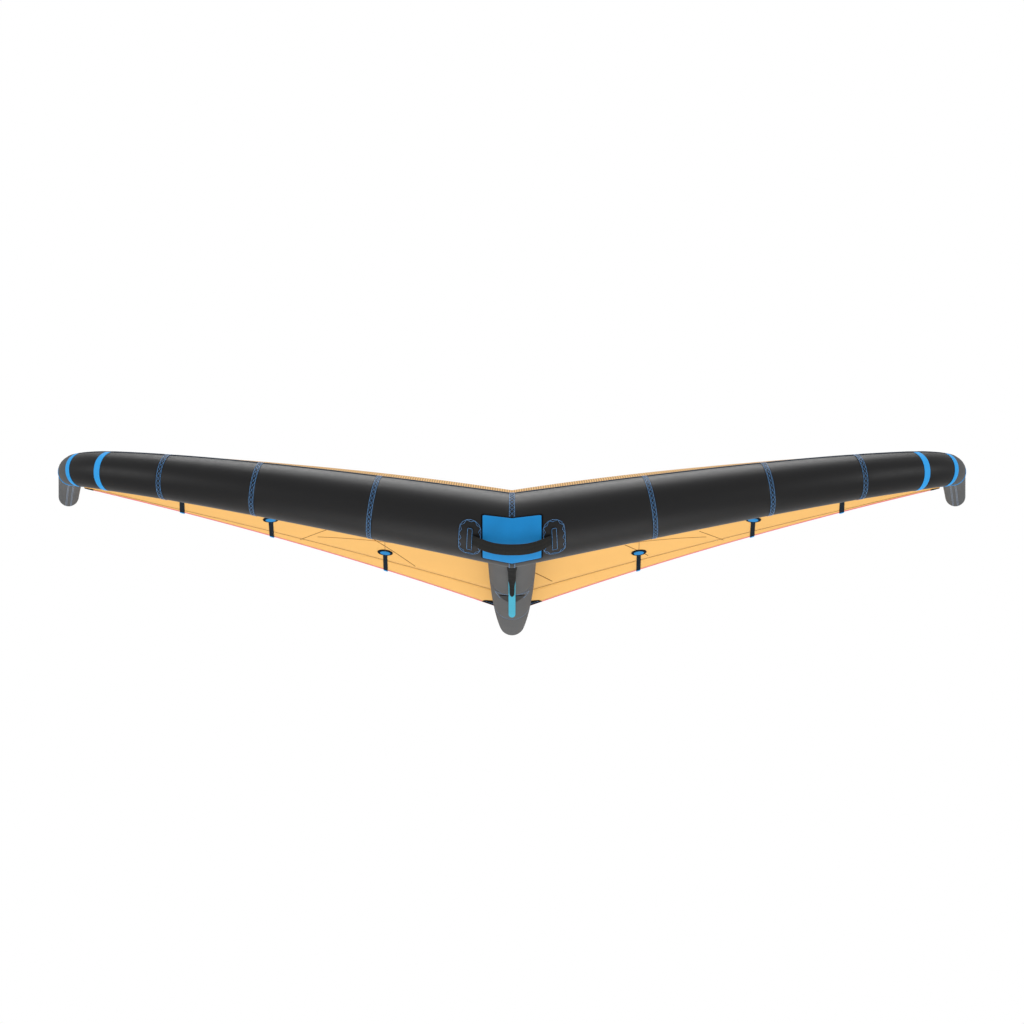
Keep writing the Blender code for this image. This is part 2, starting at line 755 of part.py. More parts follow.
def build_le_bladder(group, parent):
    inset = -(CASING_WALL + BLADDER_GAP)
    right, right_tip = le_rounding(inset, 1, BLADDER_SIDES)
    left, left_tip = le_rounding(inset, -1, BLADDER_SIDES)
    outer = [u for u in LE_STATIONS if u > 0]
    rows = (left[::-1] + le_rings(outer, inset, -1, BLADDER_SIDES) + [le_ring(0, inset, 1, BLADDER_SIDES)]
            + le_rings(outer, inset, 1, BLADDER_SIDES) + right)
    mesh = grid_mesh("le_bladder", rows, around=True, first_tip=left_tip, last_tip=right_tip)
    piece = add_object("le_bladder", mesh, group, parent)
    thicken(piece, BLADDER_WALL, outward=False)
    return finish(piece, BLADDER_CLEAR, 0.35)


# Strut pieces

def build_strut(group, parent):
    half = PANEL_GAP / 2
    front_places = [y for y in STRUT_STATIONS if y < STRUT_FRONT_SEAM] + [STRUT_FRONT_SEAM - half]
    middle_places = [y for y in STRUT_STATIONS if STRUT_FRONT_SEAM < y < STRUT_REAR_SEAM]
    end_places = [STRUT_REAR_SEAM + half] + [y for y in STRUT_STATIONS if y > STRUT_REAR_SEAM]
    front_rows = [strut_front_ring()] + [strut_ring(y) for y in front_places]
    middle_places = [STRUT_FRONT_SEAM + half] + middle_places + [STRUT_REAR_SEAM - half]
    middle_rows = [strut_ring(y) for y in middle_places]
    caps, tip = strut_rounding(0, STRUT_SIDES)
    end_rows = [strut_ring(y) for y in end_places] + caps
    front = add_object("strut_panel_front", grid_mesh("strut_panel_front", front_rows, around=True),
                       group, parent)
    middle = add_object("strut_panel_rear", grid_mesh("strut_panel_rear", middle_rows, around=True),
                        group, parent)
    end = add_object("strut_end", grid_mesh("strut_end", end_rows, around=True, last_tip=tip),
                     group, parent)
    for piece in (front, middle, end):
        thicken(piece, CASING_WALL, outward=False)
        finish(piece, GREY_CLOTH, 0.5)
    return front


def build_strut_bladder(group, parent):
    inset = CASING_WALL + BLADDER_GAP
    caps, tip = strut_rounding(inset, BLADDER_SIDES)
    rows = [strut_ring(y, inset, BLADDER_SIDES) for y in STRUT_STATIONS]
    start = strut_point(STRUT_FIRST_ROW, 0, strut_radius(STRUT_FIRST_ROW))
    start.y -= STRUT_BLADDER_CAP
    mesh = grid_mesh("strut_bladder", rows + caps, around=True, first_tip=start, last_tip=tip)
    piece = add_object("strut_bladder", mesh, group, parent)
    thicken(piece, BLADDER_WALL, outward=False)
    return finish(piece, BLADDER_CLEAR, 0.35)


def strut_bottom(y):
    """Height of the strut's lowest line, straight between its rings."""
    near, far, share = span_of(y, STRUT_STATIONS)
    heights = [strut_top(place) - 2 * strut_radius(place) for place in (near, far)]
    return heights[0] + (heights[1] - heights[0]) * share


def places_along(start, end, more=()):
    """Places from start to end, with the rings of the strut and any others that lie between them."""
    return [start] + sorted({y for y in STRUT_STATIONS + list(more) if start < y < end}) + [end]


def round_ended(start, end, half):
    """Places and half widths along a strip that ends in a half circle."""
    rows = [(y, half) for y in places_along(start, end - half)]
    for share in ROUND_END_SHARES:
        rows.append((end - half * (1 - share), half * math.sqrt(1 - (share * ROUND_END_SHARES[1]) ** 2)))
    return rows


def build_boom_rail(group, parent):
    """Base strip on the strut's underside, and the flat-bottomed rail over its front."""
    bottom = []
    top = []
    for y, half in round_ended(STRIP_FRONT, STRIP_BACK, STRIP_WIDTH / 2):
        height = strut_bottom(y) - STRIP_LIFT
        top.append([Vector((half, y, height)), Vector((-half, y, height))])
        bottom.append([point - Vector((0, 0, STRIP_THICKNESS)) for point in top[-1]])
    strip = add_object("boom_base_strip", slab_mesh("boom_base_strip", top, bottom), group, parent)
    finish(strip, STRIP_CYAN, 0.5)

    step = STRIP_FRONT - RAIL_STEP_LENGTH
    covered = STRIP_LIFT + STRIP_THICKNESS
    rows = []
    for y in places_along(RAIL_FRONT, RAIL_TAPER_END, [RAIL_TAPER_START, step])[:-1]:
        share = max(y - RAIL_TAPER_START, 0) / RAIL_TAPER_LENGTH
        rows.append((y, (RAIL_WIDTH + (RAIL_TAIL_WIDTH - RAIL_WIDTH) * share) / 2))
    rows += round_ended(RAIL_TAPER_END, RAIL_BACK, RAIL_TAIL_WIDTH / 2)
    first = strut_bottom(RAIL_FRONT) - RAIL_HEIGHT
    last = strut_bottom(RAIL_BACK) - covered - RAIL_HEIGHT
    top = []
    bottom = []
    for y, half in rows:
        share = (y - RAIL_FRONT) / (RAIL_BACK - RAIL_FRONT)
        height = strut_bottom(y) - CLEARANCE
        if y >= step:
            height -= covered
        level = first + (last - first) * share
        top.append([Vector((half, y, height)), Vector((-half, y, height))])
        bottom.append([Vector((half, y, level)), Vector((-half, y, level))])
    rail = add_object("boom_rail", slab_mesh("boom_rail", top, bottom), group, parent)
    finish(rail, BLACK_PLASTIC, 0.4)


# Canopy pieces

def canopy_rows(shares_at, outer=CANOPY_END):
    """Rows from front to back, each from the tip in to the centre plane, for chord shares given by u."""
    stations = [u for u in SPAN_STATIONS if u <= outer][::-1]
    count = len(shares_at(0))
    return [[canopy_under(u, shares_at(u)[row]) for u in stations] for row in range(count)]


def build_canopy(group, parent):
    front_shares = [share for share in CHORD_SHARES if share < FRONT_SEAM_SHARE]
    middle_shares = [share for share in CHORD_SHARES if FRONT_SEAM_SHARE < share < REAR_SEAM_SHARE]
    layouts = {
        "canopy_front": lambda u: front_shares + [FRONT_SEAM_SHARE - seam_gap(u, FRONT_SEAM_SHARE)],
        "canopy_middle": lambda u: ([FRONT_SEAM_SHARE + seam_gap(u, FRONT_SEAM_SHARE)] + middle_shares
                                    + [REAR_SEAM_SHARE - seam_gap(u, REAR_SEAM_SHARE)]),
        "canopy_rear": lambda u: [REAR_SEAM_SHARE + seam_gap(u, REAR_SEAM_SHARE),
                                  hem_start(u) - seam_gap(u, 1)],
        "trailing_hem": lambda u: [hem_start(u) + seam_gap(u, 1), 1],
    }
    for name, shares_at in layouts.items():
        piece = add_object(name, grid_mesh(name, canopy_rows(shares_at)), group, parent)
        mirror_across(piece)
        if name == "trailing_hem":
            thicken(piece, HEM_THICKNESS, outward=True)
            finish(piece, HEM_PINK, 0.6)
        else:
            thicken(piece, CLOTH_THICKNESS, outward=True)
            finish(piece, CANOPY_CLOTH, 0.6)


def build_battens(group, parent):
    """Six battens, each under a cloth pocket that ends in a round sewn head."""
    channel = BATTEN_THICKNESS + 2 * CLEARANCE
    inner = BATTEN_WIDTH / 2 + CLEARANCE
    for number, place in enumerate(BATTEN_PLACES, 1):
        chord = chord_at(place)
        end = hem_start(place)
        stem_start = end - BATTEN_LENGTH / chord
        head_centre = stem_start - POCKET_HEAD_RADIUS / chord

        def row(share, half, depth):
            offsets = (half, inner + CLEARANCE, inner, -inner, -inner - CLEARANCE, -half)
            drops = (0, 0, depth, depth, 0, 0)
            return [canopy_under(place + offset, share, CLEARANCE + drop)
                    for offset, drop in zip(offsets, drops)]

        rows = []
        for share in with_knots([head_centre + POCKET_HEAD_RADIUS * part / chord
                                 for part in POCKET_HEAD_SHARES]):
            part = (share - head_centre) * chord / POCKET_HEAD_RADIUS
            rows.append(row(share, POCKET_HEAD_RADIUS * math.sqrt(1 - part ** 2), 0))
        stem_half = POCKET_STEM_WIDTH / 2
        rows += [row(share, stem_half, channel) for share in with_knots([stem_start, end])]
        batten_top = []
        batten_bottom = []
        for share in with_knots([stem_start + CLEARANCE / chord, end]):
            batten_top.append([canopy_under(place + offset, share, CLEARANCE)
                               for offset in (BATTEN_WIDTH / 2, -BATTEN_WIDTH / 2)])
            batten_bottom.append([point - Vector((0, 0, BATTEN_THICKNESS)) for point in batten_top[-1]])
        for label, side in SIDES:
            if side < 0:
                rows = mirrored(rows)
                batten_top = mirrored(batten_top)
                batten_bottom = mirrored(batten_bottom)
            name = f"batten_pocket_{number}_{label}"
            pocket = add_object(name, grid_mesh(name, rows), group, parent)
            thicken(pocket, POCKET_CLOTH, outward=False)
            finish(pocket, DARK_CLOTH, 0.6)
            name = f"batten_{number}_{label}"
            batten = add_object(name, slab_mesh(name, batten_top, batten_bottom), group, parent)
            finish(batten, BATTEN_GLASS, 0.4)


def build_te_patches(group, parent):
    chord = chord_at(0)
    places = between(TE_PATCH_OUTER, TE_PATCH_INNER, 2)
    rows = [[canopy_under(place / TE_FAN_SHARE, share, CLEARANCE) for place in places]
            for share in between(1 - TE_PATCH_LENGTH / chord, 1, 1)]
    for label, side in SIDES:
        name = f"te_patch_{label}"
        piece = add_object(name, grid_mesh(name, rows if side > 0 else mirrored(rows)), group, parent)
        thicken(piece, TE_PATCH_THICKNESS, outward=False)
        finish(piece, BLACK_PLASTIC, 0.6)


# Nose pad, handle and anchors

def build_wear_pad(group, parent):
    out = CLEARANCE + TAPE_THICKNESS + CLEARANCE
    first = math.floor(PAD_LOW_ANGLE / (2 * math.pi / LE_SIDES)) + 1
    last = math.ceil(PAD_HIGH_ANGLE / (2 * math.pi / LE_SIDES))
    angles = [PAD_LOW_ANGLE] + [2 * math.pi * step / LE_SIDES for step in range(first, last)]
    angles.append(PAD_HIGH_ANGLE)
    stations = between(PAD_HALF_WIDTH, 0, PAD_COLUMNS // 2)
    rows = [[le_point(u, angle, out, -1) for angle in angles] for u in stations]
    rows += [[le_point(u, angle, out) for angle in angles] for u in stations[-2::-1]]
    piece = add_object("wear_pad", grid_mesh("wear_pad", rows), group, parent)
    thicken(piece, PAD_THICKNESS, outward=True)
    finish(piece, PAD_BLUE, 0.5)


def build_anchors(group, parent):
    """Stadium-shaped base of each handle end, with the raised bar that the webbing is sewn to."""
    half_bar = BAR_WIDTH / 2
    half_length = BAR_LENGTH / 2
    half_straight = ANCHOR_STRAIGHT / 2
    shoulder = half_bar + BAR_EDGE
    bar_foot = half_length + BAR_EDGE
    end = half_straight + math.sqrt(ANCHOR_RADIUS ** 2 - (shoulder + BAR_EDGE) ** 2)
    facet = 2 * math.pi / LE_SIDES
    first = math.ceil((ANCHOR_ANGLE - end / LE_ROOT_RADIUS) / facet)
    last = math.floor((ANCHOR_ANGLE + end / LE_ROOT_RADIUS) / facet)
    ridges = [(step * facet - ANCHOR_ANGLE) * LE_ROOT_RADIUS for step in range(first, last + 1)]
    upward = [half_straight, half_length, bar_foot, (bar_foot + end) / 2, end]
    heights = sorted([0] + upward + [-height for height in upward] + ridges)
    for label, side in SIDES:
        top = []
        bottom = []
        for height in heights:
            rounding = max(abs(height) - half_straight, 0)
            width = math.sqrt(ANCHOR_RADIUS ** 2 - rounding ** 2)
            angle = ANCHOR_ANGLE + height / LE_ROOT_RADIUS
            upper = []
            lower = []
            for place in (width, shoulder, half_bar, -half_bar, -shoulder, -width):
                u = ANCHOR_PLACE + place * side
                raised = abs(place) == half_bar and abs(height) <= half_length
                lift = BAR_HEIGHT if raised else ANCHOR_THICKNESS
                lower.append(le_point(u, angle, SKIN_CLEARANCE, side))
                upper.append(le_point(u, angle, SKIN_CLEARANCE + lift, side))
            top.append(upper)
            bottom.append(lower)
        name = f"handle_anchor_{label}"
        piece = add_object(name, slab_mesh(name, top, bottom), group, parent)
        finish(piece, DARK_CLOTH, 0.6)


def handle_hinge():
    """Middle of the line through both ends of the handle, about which it swings."""
    place = ANCHOR_PLACE - BAR_WIDTH / 2
    end = le_point(place, ANCHOR_ANGLE, HANDLE_END_LIFT)
    return Vector((0, end.y, end.z))


def build_handle(group, parent):
    hinge = handle_hinge()
    pivot = bpy.data.objects.new("handle_pivot", None)
    group.objects.link(pivot)
    pivot.parent = parent
    pivot.location = hinge
    spread = HANDLE_END_WIDTH / 2 / LE_ROOT_RADIUS
    wall = ANCHOR_PLACE - BAR_WIDTH / 2 - BAR_EDGE
    low_reach, high_reach = (le_point(wall, ANCHOR_ANGLE + turned, HANDLE_END_LIFT).x - HANDLE_END_GAP
                             for turned in (-spread, spread))
    middle = Vector((0, -HANDLE_FRONT, -HANDLE_DROP)) - hinge
    face = Vector((0, -math.cos(HANDLE_FACE_ANGLE), -math.sin(HANDLE_FACE_ANGLE)))
    down = Vector((0, math.sin(HANDLE_FACE_ANGLE), -math.cos(HANDLE_FACE_ANGLE)))
    top = []
    bottom = []
    for share in between(-1, 1, HANDLE_ROWS):
        bow = 1 - abs(share) ** HANDLE_BOW_POWER
        width = HANDLE_END_WIDTH + (HANDLE_WIDTH - HANDLE_END_WIDTH) * min(1, 2 * bow)
        centre = middle * bow
        low = centre + down * (width / 2) + Vector((low_reach * share, 0, 0))
        high = centre - down * (width / 2) + Vector((high_reach * share, 0, 0))
        outer = face * (HANDLE_THICKNESS / 2)
        top.append([low + outer, high + outer])
        bottom.append([low - outer, high - outer])
    piece = add_object("front_handle", slab_mesh("front_handle", top, bottom), group, pivot)
    finish(piece, WEBBING, 0.7)


# Inflation valve

def valve_seat_place():
    """Point on the back of the tube that the valve's axis passes through."""
    return le_point(VALVE_PLACE, math.pi / 2, 0)


FACING_BACK = (math.radians(-90), 0, 0)


def build_valve(group, cutters, parent, panels, bladder):
    seat = bpy.data.objects.new("valve_seat", None)
    group.objects.link(seat)
    seat.parent = parent
    seat.location = valve_seat_place()
    seat.rotation_euler = FACING_BACK
    seat_low = VALVE_SEAT_DEPTH - VALVE_SEAT_THICKNESS
    flange_low = VALVE_FLANGE_LIFT
    flange_high = flange_low + VALVE_FLANGE_THICKNESS
    base = turn("valve_base", (
        (VALVE_NECK_RADIUS, VALVE_HEIGHT), (VALVE_NECK_RADIUS, flange_high),
        (VALVE_FLANGE_RADIUS, flange_high), (VALVE_FLANGE_RADIUS, flange_low),
        (VALVE_NECK_RADIUS, flange_low), (VALVE_NECK_RADIUS, -VALVE_SKIRT),
        (VALVE_BORE_RADIUS, -VALVE_SKIRT), (VALVE_BORE_RADIUS, seat_low),
        (VALVE_SEAT_RADIUS, seat_low), (VALVE_SEAT_RADIUS, VALVE_SEAT_DEPTH),
        (VALVE_BORE_RADIUS, VALVE_SEAT_DEPTH), (VALVE_BORE_RADIUS, VALVE_HEIGHT)),
        VALVE_STEPS, group, seat)
    finish(base, BLACK_PLASTIC, 0.35)

    flap_pivot = bpy.data.objects.new("flap_pivot", None)
    group.objects.link(flap_pivot)
    flap_pivot.parent = seat
    flap_pivot.location = (0, -FLAP_RADIUS, seat_low - CLEARANCE - FLAP_THICKNESS / 2)
    flap = add_object("valve_flap", cylinder_mesh("valve_flap", FLAP_RADIUS, FLAP_THICKNESS, VALVE_STEPS),
                      group, flap_pivot)
    flap.location = (0, FLAP_RADIUS, 0)
    finish(flap, HOSE_GREY, 0.6)

    cap_pivot = bpy.data.objects.new("cap_pivot", None)
    group.objects.link(cap_pivot)
    cap_pivot.parent = seat
    hinge = CAP_RADIUS + CAP_HINGE_OFFSET
    cap_pivot.location = (0, -hinge, VALVE_HEIGHT + CLEARANCE)
    cap = turn("valve_cap", (
        (0, CAP_THICKNESS - CAP_DIMPLE_DEPTH), (CAP_DIMPLE_RADIUS, CAP_THICKNESS - CAP_DIMPLE_DEPTH),
        (CAP_DIMPLE_RADIUS, CAP_THICKNESS), (CAP_RADIUS, CAP_THICKNESS), (CAP_RADIUS, 0), (0, 0)),
        VALVE_STEPS, group, cap_pivot, hollow=False)
    cap.location = (0, hinge, 0)
    finish(cap, BLACK_PLASTIC, 0.35)

    radius = VALVE_NECK_RADIUS + VALVE_HOLE_CLEARANCE
    cutter = add_object("valve_hole", cylinder_mesh("valve_hole", radius, 2 * HOSE_CUT_DEPTH, VALVE_STEPS),
                        cutters, seat)
    cut(panels["le_panel_1_right"], cutter)
    cut(bladder, cutter)


# Air hose and pinch clip

def hose_start():
    return le_point(HOSE_PLACE, math.pi / 2, 0, -1)


def hose_end():
    """Point on the strut's side and the direction in which the hose goes in there."""
    point = strut_point(HOSE_STRUT_PLACE, HOSE_STRUT_ANGLE, 0)
    inward = Vector((math.sin(HOSE_STRUT_ANGLE), 0, -math.cos(HOSE_STRUT_ANGLE)))
    return point, inward


def hose_path():
    start = hose_start()
    end, inward = hose_end()
    back = Vector((0, 1, 0))
    bend = start + back * HOSE_STRAIGHT
    points = [start - back * HOSE_INSERT, start + back * (HOSE_STRAIGHT / 2)]
    first = bend + back * HOSE_PULL
    last = end - inward * HOSE_STRUT_PULL
    for share in between(0, 1, HOSE_CURVE_ROWS):
        rest = 1 - share
        points.append(bend * rest ** 3 + first * (3 * rest ** 2 * share)
                      + last * (3 * rest * share ** 2) + end * share ** 3)
    points.append(end + inward * HOSE_INSERT)
    return points


def tube_rings(points, radius, count):
    """Rings round a path, each turned from the one before without twist."""
    rings = []
    side = Vector((1, 0, 0))
    for step, point in enumerate(points):
        before = points[max(step - 1, 0)]
        after = points[min(step + 1, len(points) - 1)]
        along = (after - before).normalized()
        side = (side - along * side.dot(along)).normalized()
        other = along.cross(side)
        rings.append([point + radius * (side * math.cos(2 * math.pi * turn_step / count)
                                        - other * math.sin(2 * math.pi * turn_step / count))
                      for turn_step in range(count)])
    return rings


def build_hose(group, cutters, parent, panels, bladder, strut_front, strut_bladder):
    rings = tube_rings(hose_path(), HOSE_RADIUS, HOSE_SIDES)
    hose = add_object("air_hose", grid_mesh("air_hose", rings, around=True),
                      group, parent)
    thicken(hose, HOSE_WALL, outward=False)
    finish(hose, HOSE_GREY, 0.4)

    radius = HOSE_RADIUS + HOSE_HOLE_CLEARANCE
    depth = 2 * HOSE_CUT_DEPTH
    tube_cutter = add_object("hose_hole_tube", cylinder_mesh("hose_hole_tube", radius, depth, VALVE_STEPS),
                             cutters, parent)
    tube_cutter.location = hose_start()
    tube_cutter.rotation_euler = FACING_BACK
    end, inward = hose_end()
    strut_hole = cylinder_mesh("hose_hole_strut", radius, depth, VALVE_STEPS)
    strut_cutter = add_object("hose_hole_strut", strut_hole, cutters, parent)
    strut_cutter.location = end
    strut_cutter.rotation_euler = inward.to_track_quat("Z", "Y").to_euler()
    cut(panels["le_panel_1_left"], tube_cutter)
    cut(bladder, tube_cutter)
    cut(strut_front, strut_cutter)
    cut(strut_bladder, strut_cutter)


def build_clip(group, parent):
    """Clip round the hose, extruded along it, and the lever that swings on its top edge."""
    centre = hose_start() + Vector((0, CLIP_BACK, 0))
    outline = bpy.data.curves.new("pinch_clip", "CURVE")
    outline.dimensions = "2D"
    outline.fill_mode = "BOTH"
    outline.extrude = CLIP_LENGTH / 2
    frame = outline.splines.new("POLY")
    half_width = CLIP_WIDTH / 2
    half_height = CLIP_HEIGHT / 2
    corners = []
    for x_sign, y_sign in ((1, 1), (-1, 1), (-1, -1), (1, -1)):
        swapped = x_sign * y_sign > 0
        first = (x_sign * half_width, y_sign * (half_height - CLIP_BEVEL))
        second = (x_sign * (half_width - CLIP_BEVEL), y_sign * half_height)
        corners += [first, second] if swapped else [second, first]
    frame.points.add(len(corners) - 1)
    for point, (x, y) in zip(frame.points, corners):
        point.co = (x, y, 0, 1)
    frame.use_cyclic_u = True
    hole = outline.splines.new("POLY")
    hole.points.add(CLIP_HOLE_POINTS - 1)
    radius = HOSE_RADIUS + CLIP_HOLE_CLEARANCE
    for step, point in enumerate(hole.points):
        angle = 2 * math.pi * step / CLIP_HOLE_POINTS
        point.co = (radius * math.cos(angle), radius * math.sin(angle), 0, 1)
    hole.use_cyclic_u = True
    clip = bpy.data.objects.new("pinch_clip", outline)
    group.objects.link(clip)
    clip.parent = parent
    clip.location = centre
    clip.rotation_euler = FACING_BACK
    weld = clip.modifiers.new("joined faces", "WELD")
    weld.merge_threshold = 0.00001
    finish(clip, BLACK_PLASTIC, 0.4)

    pivot = bpy.data.objects.new("lever_pivot", None)
    group.objects.link(pivot)
    pivot.parent = parent
    pivot.location = centre + Vector((-half_width, 0, half_height + CLEARANCE + LEVER_THICKNESS / 2))
    mesh = box_mesh("clip_lever", (LEVER_LENGTH, LEVER_WIDTH, LEVER_THICKNESS), (LEVER_LENGTH / 2, 0, 0))
    lever = add_object("clip_lever", mesh, group, pivot)
    round_edges(lever, LEVER_BEVEL)
    finish(lever, BRIGHT_BLUE, 0.4)


# Service zip

def build_zip(group, parent):
    half_tape = ZIP_TAPE_ARC / 2
    half_teeth = ZIP_TEETH_ARC / 2
    top_teeth = half_teeth * ZIP_TEETH_TOP_SHARE
    angles = (-half_tape, -half_teeth, -top_teeth, top_teeth, half_teeth, half_tape)
    lifts = (0, 0, ZIP_TEETH_HEIGHT, ZIP_TEETH_HEIGHT, 0, 0)
    top = []
    bottom = []
    for u in (ZIP_START, ZIP_END):
        bottom.append([le_point(u, ZIP_ANGLE + angle, SKIN_CLEARANCE) for angle in angles])
        top.append([le_point(u, ZIP_ANGLE + angle, SKIN_CLEARANCE + ZIP_TAPE_THICKNESS + lift)
                    for angle, lift in zip(angles, lifts)])
    tape = add_object("service_zip", slab_mesh("service_zip", top, bottom), group, parent)
    finish(tape, BLACK_PLASTIC, 0.6)

    lift = SKIN_CLEARANCE + ZIP_TAPE_THICKNESS + ZIP_TEETH_HEIGHT + CLEARANCE
    place = ZIP_START + SLIDER_MARGIN + SLIDER_LENGTH / 2
    centre = le_point(place, ZIP_ANGLE, lift)
    along = (le_point(ZIP_END, ZIP_ANGLE, lift) - le_point(ZIP_START, ZIP_ANGLE, lift)).normalized()
    outward = (le_point(place, ZIP_ANGLE, lift) - le_point(place, ZIP_ANGLE, 0)).normalized()
    across = outward.cross(along).normalized()
    outward = along.cross(across)
    slider_start = bpy.data.objects.new("slider_start", None)
    group.objects.link(slider_start)
    slider_start.parent = parent
    turned = Matrix((along, across, outward)).transposed().to_4x4()
    slider_start.matrix_local = Matrix.Translation(centre) @ turned
    mesh = box_mesh("zip_slider", (SLIDER_LENGTH, SLIDER_WIDTH, SLIDER_HEIGHT), (0, 0, SLIDER_HEIGHT / 2))
    slider = add_object("zip_slider", mesh, group, slider_start)
    round_edges(slider, SLIDER_BEVEL)
    finish(slider, BLACK_PLASTIC, 0.3)


def main():
    clear_scene()
    group = new_collection("wingfoil_wing")
    cutters = new_collection("cutters")
    origin = bpy.data.objects.new("leading_edge_middle", None)
    group.objects.link(origin)
    origin.location = (0, -ORIGIN_BACK, ORIGIN_DROP)

    panels = build_le_panels(group, origin)
    build_tips(group, origin)
    build_tapes(group, origin)
    le_bladder = build_le_bladder(group, origin)
    strut_front = build_strut(group, origin)
    strut_bladder = build_strut_bladder(group, origin)
    build_boom_rail(group, origin)
    build_canopy(group, origin)
    build_battens(group, origin)
    build_te_patches(group, origin)
    build_wear_pad(group, origin)
    build_anchors(group, origin)
    build_handle(group, origin)
    build_valve(group, cutters, origin, panels, le_bladder)
    build_hose(group, cutters, origin, panels, le_bladder, strut_front, strut_bladder)
    build_clip(group, origin)
    build_zip(group, origin)
    for cutter in cutters.objects:
        cutter.hide_render = True
        cutter.display_type = "WIRE"
    bpy.context.view_layer.update()


main()
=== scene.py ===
"""Looks of an inflatable foil wing: cloth casings, canopy, stitching, handle, valve, hose and zip."""

import json
import math

import bmesh
import bpy
from bpy.props import FloatProperty, FloatVectorProperty, IntProperty, PointerProperty
from mathutils import Matrix, Vector

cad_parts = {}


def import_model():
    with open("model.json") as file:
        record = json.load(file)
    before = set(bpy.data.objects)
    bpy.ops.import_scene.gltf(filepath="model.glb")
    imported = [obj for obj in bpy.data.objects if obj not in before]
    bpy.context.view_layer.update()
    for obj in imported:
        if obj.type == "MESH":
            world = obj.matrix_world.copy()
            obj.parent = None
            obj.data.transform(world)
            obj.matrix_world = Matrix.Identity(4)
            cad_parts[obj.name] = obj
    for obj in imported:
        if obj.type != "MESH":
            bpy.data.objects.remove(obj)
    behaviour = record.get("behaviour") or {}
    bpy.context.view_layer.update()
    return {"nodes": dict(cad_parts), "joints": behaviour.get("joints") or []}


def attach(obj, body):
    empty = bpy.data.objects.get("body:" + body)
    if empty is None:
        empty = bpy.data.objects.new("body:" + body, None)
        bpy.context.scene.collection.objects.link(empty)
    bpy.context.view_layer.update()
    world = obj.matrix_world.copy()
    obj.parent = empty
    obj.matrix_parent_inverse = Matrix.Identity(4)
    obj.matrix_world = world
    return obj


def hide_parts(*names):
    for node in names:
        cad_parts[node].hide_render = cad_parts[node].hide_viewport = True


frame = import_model()

bl_info = {
    "name": "Inflatable foil wing",
    "version": (1, 0, 0),
    "blender": (4, 5, 0),
    "location": "View3D > Sidebar > Wing",
    "description": "Builds the cloth, tapes, stitching, fittings and studio of an inflatable foil wing",
    "category": "Object",
}

SIDES = (("right", 1), ("left", -1))
HALF_TURN = math.pi
FULL_TURN = 2 * math.pi


def linear(red, green, blue):
    """Scene colour of a screen colour written in the usual 0 to 255 steps."""
    shades = (value / 255 for value in (red, green, blue))
    return tuple(shade / 12.92 if shade <= 0.04045 else ((shade + 0.055) / 1.055) ** 2.4 for shade in shades)


def length(name, description, default):
    return FloatProperty(name=name, description=description, default=default, unit="LENGTH", precision=4)


def number(name, description, default):
    return FloatProperty(name=name, description=description, default=default)


def angle(name, description, degrees):
    return FloatProperty(name=name, description=description, default=math.radians(degrees), unit="ROTATION")


def colour(name, description, red, green, blue):
    return FloatVectorProperty(name=name, description=description, subtype="COLOR", size=3, min=0, max=1,
                               default=linear(red, green, blue))


